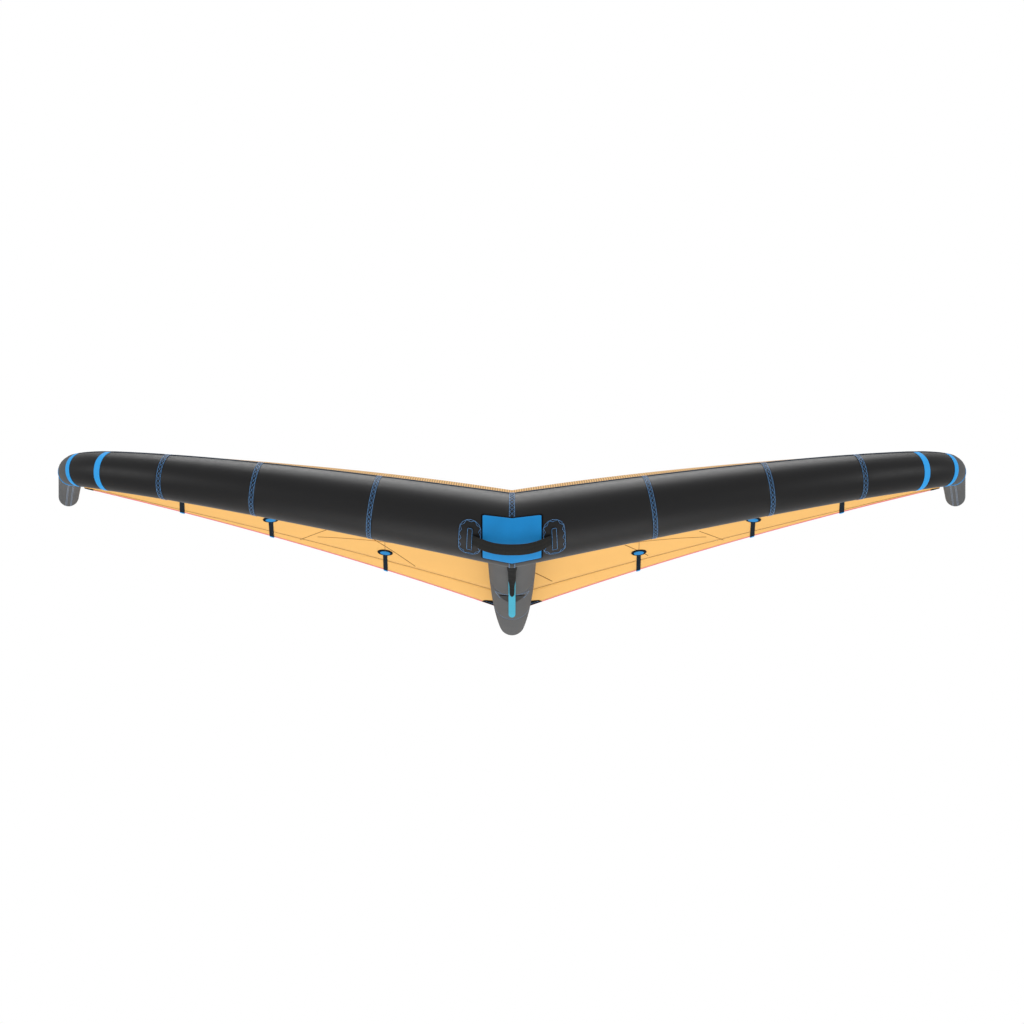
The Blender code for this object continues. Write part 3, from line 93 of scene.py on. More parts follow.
class WingSizes(bpy.types.PropertyGroup):
    """Sizes of the wing, in metres, seen from the middle of the leading edge."""
    origin_back: length("Origin back", "How far the part's origin lies behind the leading edge", 0.8782)
    origin_drop: length("Origin drop", "How far the part's origin lies below the leading edge", 0.1282)
    le_reach: length("Reach", "Half span at which the tube starts to bend back", 1.2854)
    le_sweep: length("Sweep", "How far back the tube is at the bend", 0.2105)
    le_rise: length("Rise", "How far up the tube is at the bend", 0.2203)
    le_root_radius: length("Root radius", "Tube radius in the middle", 0.1145)
    le_bend_radius: length("Bend radius", "Tube radius at the bend", 0.0621)
    tip_ring_radius: length("Ring radius", "Tube radius at the tip ring", 0.0535)
    tip_run_radius: length("Run radius", "Tube radius where the tip runs straight", 0.0428)
    le_tip_radius: length("Tip radius", "Tube radius at the tip", 0.0334)
    tip_bend_length: length("Bend length", "Arc from the bend to the tip ring", 0.1112)
    tip_bend_heading: angle("Ring heading", "Heading of the tube at the tip ring, from straight out", 35.8)
    tip_turn_length: length("Turn length", "Arc of the tighter turn behind the tip ring", 0.0588)
    tip_turn_heading: angle("Tip heading", "Heading of the tip's straight run, from straight out", 80.8)
    tip_run: length("Tip run", "Straight run behind the turn", 0.3757)
    tip_ring_slope: number("Ring slope", "Rise of the tube at the tip ring, in shares of its run", 0.0765)
    tip_end_slope: number("End slope", "Rise of the tube at its end, in shares of its run", -0.1822)
    tip_line_place: length("Line place", "Arc from the bend to the thin tip line", 0.190)
    seam_1: length("Seam 1", "Place of the first sewn seam", 0.42547)
    seam_2: length("Seam 2", "Place of the second sewn seam", 0.79399)
    seam_3: length("Seam 3", "Place of the third sewn seam", 1.08655)
    te_root_back: length("Trailing edge back", "How far back the trailing edge is in the middle", 1.90)
    te_root_drop: length("Trailing edge drop", "How far down the trailing edge is in the middle", 0.040)
    te_tip_reach: length("Trailing edge reach", "Half span of the trailing edge", 1.416)
    te_tip_back: length("Trailing edge tip", "How far back the trailing edge is at the tip", 0.665)
    te_rise: length("Trailing edge rise", "Rise of the trailing edge from the middle to the tip", 0.2726)
    camber: length("Camber", "Height of the canopy over its chord in the middle", 0.133)
    strut_radius: length("Strut radius", "Radius of the strut at its front", 0.0865)
    strut_end_radius: length("Strut end radius", "Radius of the strut at its back", 0.0465)
    strut_front: length("Strut front", "Where the strut starts", 0.10)
    strut_back: length("Strut back", "Where the strut's rounded end starts", 1.88)
    strut_rounding: length("Strut rounding", "Depth of the strut's rounded end", 0.036)
    strut_seam_1: length("Strut seam 1", "Place of the strut's first seam", 1.30)
    strut_seam_2: length("Strut seam 2", "Place of the strut's second seam", 1.615)
    strut_nose_drop: length("Nose drop", "How far the strut's top dips to the tube", 0.033)
    strut_nose_length: length("Nose length", "Length over which the strut's top dips", 0.32)
    rail_front: length("Rail front", "Where the rail starts", 0.74)
    rail_back: length("Rail back", "Where the rail ends", 1.272)
    strip_front: length("Strip front", "Where the base strip starts", 1.03)
    strip_back: length("Strip back", "Where the base strip ends", 1.575)
    strip_width: length("Strip width", "Width of the base strip", 0.0238)
    batten_1: length("Batten 1", "Place of the first batten", 0.43408)
    batten_2: length("Batten 2", "Place of the second batten", 0.80325)
    batten_3: length("Batten 3", "Place of the third batten", 1.07087)
    batten_length: length("Batten length", "From the middle of a pocket's head to the trailing edge", 0.132)
    pocket_stem_width: length("Stem width", "Width of a batten pocket's stem", 0.0135)
    pocket_head_radius: length("Head radius", "Radius of a batten pocket's head", 0.0255)
    tape_width: length("Tape width", "Width of the seam tapes", 0.0145)
    centre_tape_width: length("Centre tape width", "Width of the tape in the middle", 0.018)
    band_width: length("Band width", "Width of the bright tip band", 0.019)
    ring_width: length("Ring width", "Width of the bright tip ring", 0.013)
    stitch_pitch: length("Stitch pitch", "Length of one zigzag along a tape", 0.0112)
    thread_radius: length("Thread radius", "Radius of the sewing thread", 0.0006)
    grid_pitch: length("Ripstop pitch", "Spacing of the canopy's reinforcing yarns", 0.0076)
    pucker: length("Pucker", "Depth of the gathers beside a seam", 0.0007)


class WingColours(bpy.types.PropertyGroup):
    """Colours of the wing's cloths, tapes and fittings."""
    casing: colour("Casing", "Dark cloth of the leading edge", 23, 23, 24)
    grey: colour("Grey cloth", "Cloth of the strut and tips", 90, 91, 92)
    canopy: colour("Canopy", "Cloth of the canopy", 245, 193, 113)
    # The canopy's finish halves this yarn colour on the upper side as painted shade.
    canopy_yarn: colour("Canopy yarn", "Reinforcing yarns of the canopy", 226, 168, 88)
    canopy_seam: colour("Canopy seam", "Seams of the canopy", 176, 132, 74)
    tape: colour("Tape", "Seam tape between its threads", 24, 28, 32)
    thread: colour("Thread", "Sewing thread", 58, 128, 188)
    pale_thread: colour("Pale thread", "Thread on grey cloth", 98, 124, 156)
    band: colour("Band", "Bright tip bands", 52, 162, 236)
    pad: colour("Pad", "Wear pad and pocket heads", 26, 134, 202)
    hem: colour("Hem", "Trailing edge tape", 236, 128, 142)
    strip: colour("Strip", "Base strip under the strut", 68, 168, 196)
    webbing: colour("Webbing", "Handle strap", 29, 29, 27)
    plastic: colour("Plastic", "Moulded fittings", 15, 16, 16)
    patch: colour("Patches", "Dark patches under the strut and the trailing edge", 24, 25, 27)
    print: colour("Strokes", "Plain printed strokes under the canopy", 136, 90, 40)
    pocket: colour("Batten pockets", "Dark cloth of the batten pockets", 12, 28, 40)
    # Edging also gives the black thread along the bow patch's front edge, a painted shadow line.
    edging: colour("Edging", "Black edging of the pad and the patches", 8, 8, 9)
    luff: colour("Luff tape", "Tape over the canopy's front edge", 22, 38, 56)
    bladder: colour("Bladder", "Film of the bladders", 205, 210, 214)
    hose: colour("Hose", "Air hose", 158, 160, 164)


class WingStudio(bpy.types.PropertyGroup):
    """Camera, lamps and floor."""
    distance: length("Camera distance", "From the middle of the leading edge to the camera", 10.0)
    lift: angle("Camera lift", "How steeply the camera looks up", 8.2)
    focal_pixels: number("Focal length", "Focal length in pixels of the picture's width", 3226)
    centre_drop: number("Centre drop",
                        "Pixels by which the leading edge lies below the picture's middle", 18.5)
    picture: IntProperty(name="Picture", description="Width of the picture in pixels", default=1024)
    floor_depth: length("Floor depth", "How far below the wing the floor lies", 1.9)
    gloss_power: number("Upper lamp", "Power of the lamp above that shows in the gloss, in watts", 390)
    side_power: number("Side lamps",
                       "Power of each lamp beside the camera that shows in the gloss, in watts", 340)
    front_power: number("Front lamp", "Power of the low lamp in front that shows in the gloss, in watts", 60)
    under_power: number("Lower lamp", "Power of the wide lamp below, in watts", 24)
    sky: number("Sky", "Strength of the even light from all round", 1.0)


# Courses of the leading edge, the canopy and the strut

SWEEP_SHARES = (0.5534, 0.4466)
SWEEP_POWER = 5
RISE_SHARES = (1.1083, -0.1083)
TAPER_SHARES = (0.8431, 0.1569)
TE_POWER = 1.9
TE_RISE_SHARES = (1.81, -0.81)
TE_FAN_SHARE = 1.06
CAMBER_SHARES = (1, -0.198, -1.219, 0.606)
CAMBER_POWERS = (0.8, 1.1)
ATTACH_ANGLE = math.radians(18)
CANOPY_LIFT = 0.0012
CANOPY_TIP_STOP = 0.10
STRUT_SEAT = 0.0006
STRUT_TAPER_POWER = 4.8
CREST_TRIM = 0.15
CREST_POWER = 4
PANEL_GAP = 0.0006
SLANT_STEP = 0.004
SPOT_ROUNDS = 8
# How far the tube's crest is shifted in, by how far it lies past the bend
TIP_LEANS = ((-9, 0), (-0.08, 0), (0, 0.0116), (0.07, 0.015), (0.14, 0), (9, 0))
LOWER_LEAN_SHARE = 0.45
STRAIGHT_TURN = 1e-5
SEAM_RIPPLES = ((1, 23, 5, 0), (0.6, 41, 9, 1))
GATHER_REACH = 0.12
GATHER_WIDTH = 0.014
PUCKER_SHARE = 0.28
PUCKER_FADE = 0.03
PUCKER_START = 0.012
STRUT_RIPPLES = ((1, 17, 3, 0), (0.5, 29, 0, 1))
STRUT_GATHER_REACH = 0.1
STRUT_GATHER_WIDTH = 0.01
STRUT_PUCKER_SHARE = 0.25
STRUT_PUCKER_FADE = 0.025


def between(start, end, count):
    """Evenly spaced values from start to end, in count steps."""
    return [start + (end - start) * step / count for step in range(count + 1)]


def spaced(start, end, gap):
    """Evenly spaced values from start to end, about gap apart."""
    return between(start, end, max(2, round(abs(end - start) / gap)))


def read_off(marks, value):
    """Value between the marks, which are (place, value) pairs in order."""
    for (near, low), (far, high) in zip(marks, marks[1:]):
        if value <= far:
            break
    return low + (high - low) * (value - near) / (far - near)


def rippled(ripples, turn, seam):
    """Height of puckers round a tube, from (size, count, shift from seam to seam, start) of each ripple."""
    return sum(size * math.sin(count * turn + shift * seam + start) for size, count, shift, start in ripples)


def run_on(x, y, first, last, run):
    """End of a level arc of the given run, which turns from the first heading to the last."""
    if abs(last - first) < STRAIGHT_TURN:
        return x + run * math.cos(first), y + run * math.sin(first)
    radius = run / (last - first)
    return x + radius * (math.sin(last) - math.sin(first)), y + radius * (math.cos(first) - math.cos(last))


class WingShape:
    """The wing's surfaces as formulas, seen from the part's own origin."""

    def __init__(self, sizes):
        for key in WingSizes.__annotations__:
            setattr(self, key, getattr(sizes, key))
        self.origin = Vector((0, -self.origin_back, self.origin_drop))
        self.start_heading = math.atan2(
            self.le_sweep * (SWEEP_SHARES[0] + SWEEP_POWER * SWEEP_SHARES[1]), self.le_reach)
        self.start_slope = (self.le_rise / self.le_reach * (RISE_SHARES[0] + 2 * RISE_SHARES[1])
                            * math.cos(self.start_heading))
        self.tip_ring = self.le_reach + self.tip_bend_length
        self.turn_end = self.tip_ring + self.tip_turn_length
        self.le_end = self.turn_end + self.tip_run
        self.canopy_end = self.le_end - CANOPY_TIP_STOP
        self.seams = (0, self.seam_1, self.seam_2, self.seam_3, self.le_reach, self.tip_ring)
        self.battens = (self.batten_1, self.batten_2, self.batten_3)
        self.tip_radii = ((self.le_reach, self.le_bend_radius), (self.tip_ring, self.tip_ring_radius),
                          (self.turn_end, self.tip_run_radius), (self.le_end, self.le_tip_radius))

    def le_section(self, u):
        """Centre, radius, up, back and along directions of the tube at span place u."""
        if u <= self.le_reach:
            share = u / self.le_reach
            sweep = self.le_sweep * (SWEEP_SHARES[0] * share + SWEEP_SHARES[1] * share ** SWEEP_POWER)
            rise = self.le_rise * (RISE_SHARES[0] * share + RISE_SHARES[1] * share ** 2)
            taper = TAPER_SHARES[0] * share + TAPER_SHARES[1] * share ** 2
            radius = self.le_root_radius + (self.le_bend_radius - self.le_root_radius) * taper
            centre = Vector((u, sweep, rise))
            sweep_slope = self.le_sweep / self.le_reach * (
                SWEEP_SHARES[0] + SWEEP_POWER * SWEEP_SHARES[1] * share ** (SWEEP_POWER - 1))
            rise_slope = self.le_rise / self.le_reach * (RISE_SHARES[0] + 2 * RISE_SHARES[1] * share)
            along = Vector((1, sweep_slope, rise_slope)).normalized()
        else:
            centre, along = self.tip_course(u)
            radius = read_off(self.tip_radii, u)
        back = Vector((-along.y, along.x, 0)).normalized()
        up = along.cross(back).normalized()
        return centre, radius, up, back, along

    def tip_course(self, u):
        """Centre and direction of the tube beyond the bend: a wide bend, a tighter turn, a straight run."""
        bent = min(u - self.le_reach, self.tip_bend_length)
        turned = min(max(u - self.tip_ring, 0), self.tip_turn_length)
        straight = max(u - self.turn_end, 0)
        share = bent / self.tip_bend_length
        mid_heading = self.start_heading + (self.tip_bend_heading - self.start_heading) * share
        share = turned / self.tip_turn_length
        heading = mid_heading + (self.tip_turn_heading - self.tip_bend_heading) * share
        x, y = run_on(self.le_reach, self.le_sweep, self.start_heading, mid_heading, bent)
        x, y = run_on(x, y, mid_heading, heading, turned)
        x, y = run_on(x, y, heading, heading, straight)
        flattened = (self.tip_ring_slope - self.start_slope) / self.tip_bend_length
        sinking = (self.tip_end_slope - self.tip_ring_slope) / (self.tip_turn_length + self.tip_run)
        beyond = turned + straight
        ring_slope = self.start_slope + flattened * bent
        slope = ring_slope + sinking * beyond
        z = self.le_rise + (self.start_slope + ring_slope) / 2 * bent + (ring_slope + slope) / 2 * beyond
        return Vector((x, y, z)), Vector((math.cos(heading), math.sin(heading), slope)).normalized()

    def placed(self, point, side=1):
        """A point of the right wing seen from the part's own origin, or its twin on the left."""
        return Vector((point.x * side, point.y, point.z)) + self.origin

    def gathers(self, u, turn):
        """How far the skin is drawn in beside the seams, with small puckers round the tube."""
        depth = 0.0
        for seam in self.seams:
            near = abs(u - seam)
            if near < GATHER_REACH:
                depth += self.pucker * math.exp(-(near / GATHER_WIDTH) ** 2)
                fade = math.exp(-near / PUCKER_FADE)
                depth += (PUCKER_SHARE * self.pucker * fade * rippled(SEAM_RIPPLES, turn, seam)
                          * min(1, near / PUCKER_START))
        return depth

    def lean(self, arm, along, u):
        """Shift along the tube that lays its sections square to the span near the middle of the wing."""
        return along * (arm.x / along.x * max(0, 1 - u / self.seam_1) ** 2)

    def le_point(self, u, turn, out=0.0, side=1):
        """Point over the leading edge's skin, its turn measured from the top towards the back."""
        high = math.cos(turn) ** 3
        u -= read_off(TIP_LEANS, u - self.le_reach) * (high if high > 0 else -LOWER_LEAN_SHARE * high)
        centre, radius, up, back, along = self.le_section(u)
        reach = radius + out - self.gathers(u, turn)
        arm = reach * (up * math.cos(turn) + back * math.sin(turn))
        arm -= self.lean(arm, along, u)
        return self.placed(centre + arm, side)

    def le_cap(self, share, turn, out, side):
        """Point of the tube's rounded end, share running from its last ring to its very tip."""
        centre, radius, up, back, along = self.le_section(self.le_end)
        reach = radius + out
        width = reach * math.cos(share * HALF_TURN / 2)
        point = centre + along * (reach * math.sin(share * HALF_TURN / 2))
        return self.placed(point + width * (up * math.cos(turn) + back * math.sin(turn)), side)

    def te_reach(self, u):
        """How far out the trailing edge is for a span place."""
        if u <= self.le_reach:
            return u * TE_FAN_SHARE
        inner = self.le_reach * TE_FAN_SHARE
        return inner + (self.te_tip_reach - inner) * (u - self.le_reach) / (self.canopy_end - self.le_reach)

    def te_point(self, u):
        """Point of the trailing edge, seen from the middle of the leading edge."""
        share = self.te_reach(u) / self.te_tip_reach
        back = self.te_tip_back + (self.te_root_back - self.te_tip_back) * (1 - share ** TE_POWER)
        rise = self.te_rise * (TE_RISE_SHARES[0] * share + TE_RISE_SHARES[1] * share ** 2)
        return Vector((self.te_reach(u), back, rise - self.te_root_drop))

    def canopy_base(self, u, share):
        """Point of the canopy's underside, from its front edge to the trailing edge."""
        centre, radius, up, back, along = self.le_section(u)
        arm = (radius + CANOPY_LIFT) * (up * math.cos(ATTACH_ANGLE) + back * math.sin(ATTACH_ANGLE))
        start = centre + arm - self.lean(arm, along, u)
        out = start.x / self.le_reach
        camber = self.camber * sum(part * out ** power for power, part in enumerate(CAMBER_SHARES))
        front, rear = CAMBER_POWERS
        peak = front / (front + rear)
        bulge = share ** front * (1 - share) ** rear / (peak ** front * (1 - peak) ** rear)
        bulge *= 1 - CREST_TRIM * (1 - share) ** CREST_POWER * (1 - min(out, 1) ** CREST_POWER)
        point = start.lerp(self.te_point(u), share)
        point.z += max(camber, 0) * bulge
        return point

    def canopy_point(self, u, share, lift=0.0, side=1):
        """Point over the canopy's underside, on the left where the span place is below zero."""
        point = self.canopy_base(abs(u), share)
        point.z += lift
        return self.placed(point, -side if u < 0 else side)

    def canopy_spot(self, x, y):
        """Span place and chord share of the canopy at a level place."""
        u = x
        for _ in range(SPOT_ROUNDS):
            front = self.canopy_base(u, 0)
            rear = self.te_point(u)
            share = (y - front.y) / (rear.y - front.y)
            u += x - (front.x + (rear.x - front.x) * share)
        return u, share

    def under_canopy(self, x, y, drop, side):
        """Point below the canopy's underside at a level place."""
        u, share = self.canopy_spot(x, y)
        return self.canopy_point(u, share, -drop, side)

    def seam_gap(self, u, share):
        """Half the gap between two panels as a share of the chord, wider where the seam slants."""
        chord = self.te_point(u) - self.canopy_base(u, 0)
        outer = self.canopy_base(min(u + SLANT_STEP, self.canopy_end), share)
        seam = outer - self.canopy_base(max(u - SLANT_STEP, 0), share)
        return PANEL_GAP / 2 * seam.length / chord.cross(seam).length

    def chord(self, u):
        """Straight length from the canopy's front edge to the trailing edge."""
        return (self.te_point(u) - self.canopy_base(u, 0)).length

    def strut_reach(self, y):
        """Radius of the strut, which tapers mostly towards its back."""
        share = min(max((y - self.strut_front) / (self.strut_back - self.strut_front), 0), 1)
        return self.strut_radius + (self.strut_end_radius - self.strut_radius) * share ** STRUT_TAPER_POWER

    def strut_top(self, y):
        """Height of the strut's top, which follows the canopy and dips at the nose."""
        front = self.canopy_base(0, 0).y
        share = min(max((y - front) / (self.te_root_back - front), 0), 1)
        dip = self.strut_nose_drop * max(0, 1 - y / self.strut_nose_length) ** 2
        return self.canopy_base(0, share).z - STRUT_SEAT - dip

    def strut_gather(self, y, turn):
        """How far the strut's skin is drawn in beside its seams."""
        depth = 0.0
        for seam in (self.strut_seam_1, self.strut_seam_2):
            near = abs(y - seam)
            if near < STRUT_GATHER_REACH:
                depth += self.pucker * math.exp(-(near / STRUT_GATHER_WIDTH) ** 2)
                fade = math.exp(-near / STRUT_PUCKER_FADE)
                depth += STRUT_PUCKER_SHARE * self.pucker * fade * rippled(STRUT_RIPPLES, turn, seam)
        return depth

    def strut_point(self, y, turn, out=0.0):
        """Point over the strut's skin, its turn measured from the top towards -X."""
        radius = self.strut_reach(y)
        height = self.strut_top(y) - radius
        reach = radius + out - self.strut_gather(y, turn)
        return self.placed(Vector((-reach * math.sin(turn), y, height + reach * math.cos(turn))))

    def strut_cap(self, share, turn, out=0.0):
        """Point of the strut's rounded end, share running from its last ring to its very end."""
        radius = self.strut_reach(self.strut_back) + out
        height = self.strut_top(self.strut_back) - self.strut_reach(self.strut_back)
        width = radius * math.cos(share * HALF_TURN / 2)
        back = self.strut_back + (self.strut_rounding + out) * math.sin(share * HALF_TURN / 2)
        return self.placed(Vector((-width * math.sin(turn), back, height + width * math.cos(turn))))


def shape():
    return WingShape(bpy.context.scene.wing_sizes)


def palette():
    return bpy.context.scene.wing_colours


# Meshes

INWARD, BOTH_WAYS, OUTWARD = -1, 0, 1
BEVEL_STEPS = 3


def mirrored(point, side=-1):
    """A point as it is, or its twin across the middle of the wing."""
    return Vector((point.x * side, point.y, point.z))


def facing(rows, side):
    """Rows of the right wing, or those of the left wing turned round so that they face the same way."""
    return rows if side > 0 else [row[::-1] for row in rows]


def turns(count):
    """Even turns round a tube."""
    return [FULL_TURN * step / count for step in range(count)]


def quarter_turns(steps):
    """Turns that split a quarter turn into steps, without its two ends."""
    return [step * HALF_TURN / (2 * steps) for step in range(1, steps)]


def rings(point, places, count):
    """Closed rings round a tube, one at each place, where point(place, turn) gives their points."""
    return [[point(place, turn) for turn in turns(count)] for place in places]


def middle_of(row):
    return sum(row, Vector()) / len(row)


def linked(name, data):
    """New object in the scene."""
    piece = bpy.data.objects.new(name, data)
    bpy.context.scene.collection.objects.link(piece)
    return piece


def surface(name, rows, cloth=None, around=False, first=None, last=None):
    """Smooth sheet through rows of points, or a tube when around, with its ends drawn to first and last."""
    count = len(rows[0])
    points = [point for row in rows for point in row]
    spans = count if around else count - 1
    faces = []
    for row in range(len(rows) - 1):
        near = row * count
        far = near + count
        for step in range(spans):
            other = (step + 1) % count
            faces.append((near + step, far + step, far + other, near + other))
    if first is not None:
        points.append(first)
        faces += [(len(points) - 1, step, (step + 1) % count) for step in range(spans)]
    if last is not None:
        points.append(last)
        base = (len(rows) - 1) * count
        faces += [(len(points) - 1, base + (step + 1) % count, base + step) for step in range(spans)]
    mesh = bpy.data.meshes.new(name)
    mesh.from_pydata(points, [], faces)
    mesh.shade_smooth()
    if cloth is not None:
        layer = mesh.attributes.new("cloth", "FLOAT_VECTOR", "POINT")
        layer.data.foreach_set("vector", [value for row in cloth for pair in row for value in (*pair, 0.0)])
    return linked(name, mesh)


def thicken(piece, thickness, offset=INWARD):
    solid = piece.modifiers.new("thickness", "SOLIDIFY")
    solid.thickness = thickness
    solid.offset = offset
    solid.use_even_offset = True
    return piece


def soften(piece, width, segments=BEVEL_STEPS):
    bevel = piece.modifiers.new("edges", "BEVEL")
    bevel.width = width
    bevel.segments = segments
    bevel.limit_method = "ANGLE"
    return piece


def coated(piece, look):
    """Gives a piece, or a node of the frame, its finish."""
    piece.data.materials.clear()
    piece.data.materials.append(finish(look))
    return piece


def finished(piece, look, nodes=(), body="wing"):
    """Gives a piece its finish, its body and the plain solids that it stands for."""
    coated(piece, look)
    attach(piece, body)
    if nodes:
        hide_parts(*nodes)
    return piece


def sewn(name, rows, thickness, look, nodes=(), offset=INWARD, slot=None, **ends):
    """Finished sheet or tube of cloth, film or tape through rows of points."""
    return finished(thicken(surface(name, rows, **ends), thickness, offset), look, nodes)


def thread(name, runs, radius, look, nodes=(), slot=None, closed=False, sides=1):
    """Sewing thread or cord along one or more runs of points."""
    curve = bpy.data.curves.new(name, "CURVE")
    curve.dimensions = "3D"
    curve.bevel_depth = radius
    curve.bevel_resolution = sides
    curve.use_fill_caps = not closed
    for run in runs:
        spline = curve.splines.new("POLY")
        spline.points.add(len(run) - 1)
        for knot, point in zip(spline.points, run):
            knot.co = (*point, 1)
        spline.use_cyclic_u = closed
    return finished(linked(name, curve), look, nodes)


def hinge_place(body):
    """Where the joint that carries a body stands."""
    return Vector(next(joint["pos_m"] for joint in frame["joints"] if joint["child"] == body))


# Materials

# A wave texture of scale 1 turns by this many radians in a metre along an axis
WAVE_RADIANS = 20
# Lengths in which the waves of a weave and of webbing's ribs and twill turn by one radian
WEAVE_RADIAN = 0.0009
RIB_RADIAN = 0.0022
TWILL_RADIAN = 0.00154
TWIST_SCALE = 90.0
WEAVE_DEPTH = 0.000225


class Finish:
    """One node material, built step by step round a Principled shader."""

    def __init__(self, name, roughness=0.5, sheen=0.0, coat=0.0, shine=0.5):
        self.material = bpy.data.materials.new(name)
        self.material.use_nodes = True
        self.tree = self.material.node_tree
        self.shader = self.tree.nodes["Principled BSDF"]
        self.shader.inputs["Roughness"].default_value = roughness
        self.shader.inputs["Sheen Weight"].default_value = sheen
        self.shader.inputs["Coat Weight"].default_value = coat
        self.shader.inputs["Specular IOR Level"].default_value = shine

    def node(self, kind, inputs=None, **settings):
        made = self.tree.nodes.new(kind)
        for key, value in settings.items():
            setattr(made, key, value)
        for key, value in (inputs or {}).items():
            socket = made.inputs[key]
            if isinstance(value, bpy.types.NodeSocket):
                self.tree.links.new(value, socket)
            else:
                socket.default_value = value
        return made

    def math(self, operation, first, second=0.0):
        return self.node("ShaderNodeMath", {0: first, 1: second}, operation=operation).outputs[0]

    def object_place(self):
        return self.node("ShaderNodeTexCoord").outputs["Object"]

    def cloth_place(self):
        return self.node("ShaderNodeAttribute", attribute_name="cloth").outputs["Vector"]

    def noise(self, place, scale, detail=3.0, stretch=None):
        if stretch is not None:
            place = self.node("ShaderNodeMapping", {"Vector": place, "Scale": stretch}).outputs[0]
        return self.node("ShaderNodeTexNoise", {"Vector": place, "Scale": scale, "Detail": detail}).outputs[0]

    def wave(self, place, scale, direction, distortion=0.0):
        inputs = {"Vector": place, "Scale": scale, "Distortion": distortion}
        return self.node("ShaderNodeTexWave", inputs, bands_direction=direction).outputs["Fac"]

    def mix(self, share, first, second):
        made = self.node("ShaderNodeMix", data_type="RGBA")
        for key, value in ((0, share), (6, first), (7, second)):
            if isinstance(value, bpy.types.NodeSocket):
                self.tree.links.new(value, made.inputs[key])
            elif key:
                made.inputs[key].default_value = (*value, 1)
            else:
                made.inputs[key].default_value = value
        return made.outputs[2]

    def spread(self, value, low, high, start=0.0, end=1.0):
        inputs = {"Value": value, "From Min": start, "From Max": end, "To Min": low, "To Max": high}
        return self.node("ShaderNodeMapRange", inputs).outputs[0]

    def colour(self, source):
        self.tree.links.new(source, self.shader.inputs["Base Color"])

    def roughness(self, source):
        self.tree.links.new(source, self.shader.inputs["Roughness"])

    def bump(self, *layers):
        """Stacks height layers, each with its strength and its depth in metres."""
        normal = None
        for height, strength, depth in layers:
            inputs = {"Height": height, "Strength": strength, "Distance": depth}
            if normal is not None:
                inputs["Normal"] = normal
            normal = self.node("ShaderNodeBump", inputs).outputs[0]
        self.tree.links.new(normal, self.shader.inputs["Normal"])


def wave_scale(radian):
    """Scale at which a wave texture turns by one radian in this length along an axis."""
    return 1 / (radian * WAVE_RADIANS)


def shaded(tone, factor):
    return tuple(min(1.0, max(0.0, value * factor)) for value in tone)


def woven_finish(name, tone, roughness=0.42, sheen=0.1, worn=0.12, shine=0.2):
    """Tight coated cloth: a plain weave, slight wear in the colour and soft creases."""
    made = Finish(name, roughness, sheen, shine=shine)
    place = made.object_place()
    cloudy = made.noise(place, 7.0, 4.0)
    fine = made.noise(place, 60.0, 2.0)
    tones = made.mix(made.spread(cloudy, 0, 1, 0.3, 0.7), shaded(tone, 1 - worn), shaded(tone, 1 + worn))
    scale = wave_scale(WEAVE_RADIAN)
    weave = made.math("MULTIPLY", made.wave(place, scale, "X"), made.wave(place, scale, "Z"))
    made.colour(made.mix(made.spread(weave, 0, 0.16), tones, shaded(tone, 1.25)))
    made.roughness(made.spread(fine, roughness - 0.06, roughness + 0.08))
    creases = made.noise(place, 9.0, 2.0, (0.35, 1.0, 1.0))
    made.bump((weave, 0.25, WEAVE_DEPTH), (fine, 0.2, 0.0003), (creases, 0.35, 0.002))
    return made.material


def ripstop_finish(name, tone, yarn, pitch):
    """Light canopy cloth with a grid of heavier yarns, wider on its upper side, with painted shade that
    darkens them there.
    """
    made = Finish(name, 0.7, 0.05, shine=0.1)
    place = made.cloth_place()
    facing = made.node("ShaderNodeSeparateXYZ", {"Vector": made.node("ShaderNodeTexCoord").outputs["Normal"]})
    # upper is 1 on the upper side: it sets the grid's pitch and the painted shade of its yarns.
    upper = made.spread(facing.outputs["Z"], 0, 1, -0.1, 0.1)
    depth = made.spread(upper, 0.25, 1.0)
    closer = made.math("SUBTRACT", 2.0, upper)
    parts = made.node("ShaderNodeSeparateXYZ", {"Vector": place})
    lines = []
    for output, width in (("X", 0.42), ("Y", 0.2)):
        turns = made.math("MULTIPLY", made.math("DIVIDE", parts.outputs[output], pitch), closer)
        saw = made.math("ABSOLUTE", made.math("SUBTRACT", made.math("FRACT", turns), 0.5))
        lines.append(made.spread(saw, 0, 1, 0.5 - width, 0.5 - width * 0.35))
    grid = made.math("MAXIMUM", lines[0], made.math("MULTIPLY", lines[1], 0.6))
    cloudy = made.noise(place, 3.0, 4.0)
    tones = made.mix(made.spread(cloudy, 0, 1, 0.3, 0.7), shaded(tone, 0.97), shaded(tone, 1.02))
    # Painted shade: on the upper side the yarns take half their colour and the grid shows at full strength.
    yarn_with_painted_shade = made.mix(upper, yarn, shaded(yarn, 0.5))
    made.colour(made.mix(made.math("MULTIPLY", grid, depth), tones, yarn_with_painted_shade))
    creases = made.noise(place, 5.0, 3.0, (1.0, 0.25, 1.0))
    made.bump((grid, 0.3, 0.0002), (creases, 0.25, 0.003))
    return made.material


def webbing_finish(name, tone):
    """Thick webbing: ribs along it and a twill across them."""
    made = Finish(name, 0.65, 0.04, shine=0.08)
    place = made.cloth_place()
    ribs = made.wave(place, wave_scale(RIB_RADIAN), "Y")
    picks = made.wave(place, wave_scale(TWILL_RADIAN), "X", 0.4)
    weave = made.math("ADD", made.math("MULTIPLY", ribs, 0.7), made.math("MULTIPLY", picks, 0.3))
    fuzz = made.noise(place, 400.0, 2.0)
    made.colour(made.mix(weave, shaded(tone, 0.88), shaded(tone, 1.08)))
    made.bump((weave, 0.6, 0.0005), (fuzz, 0.2, 0.0002))
    return made.material


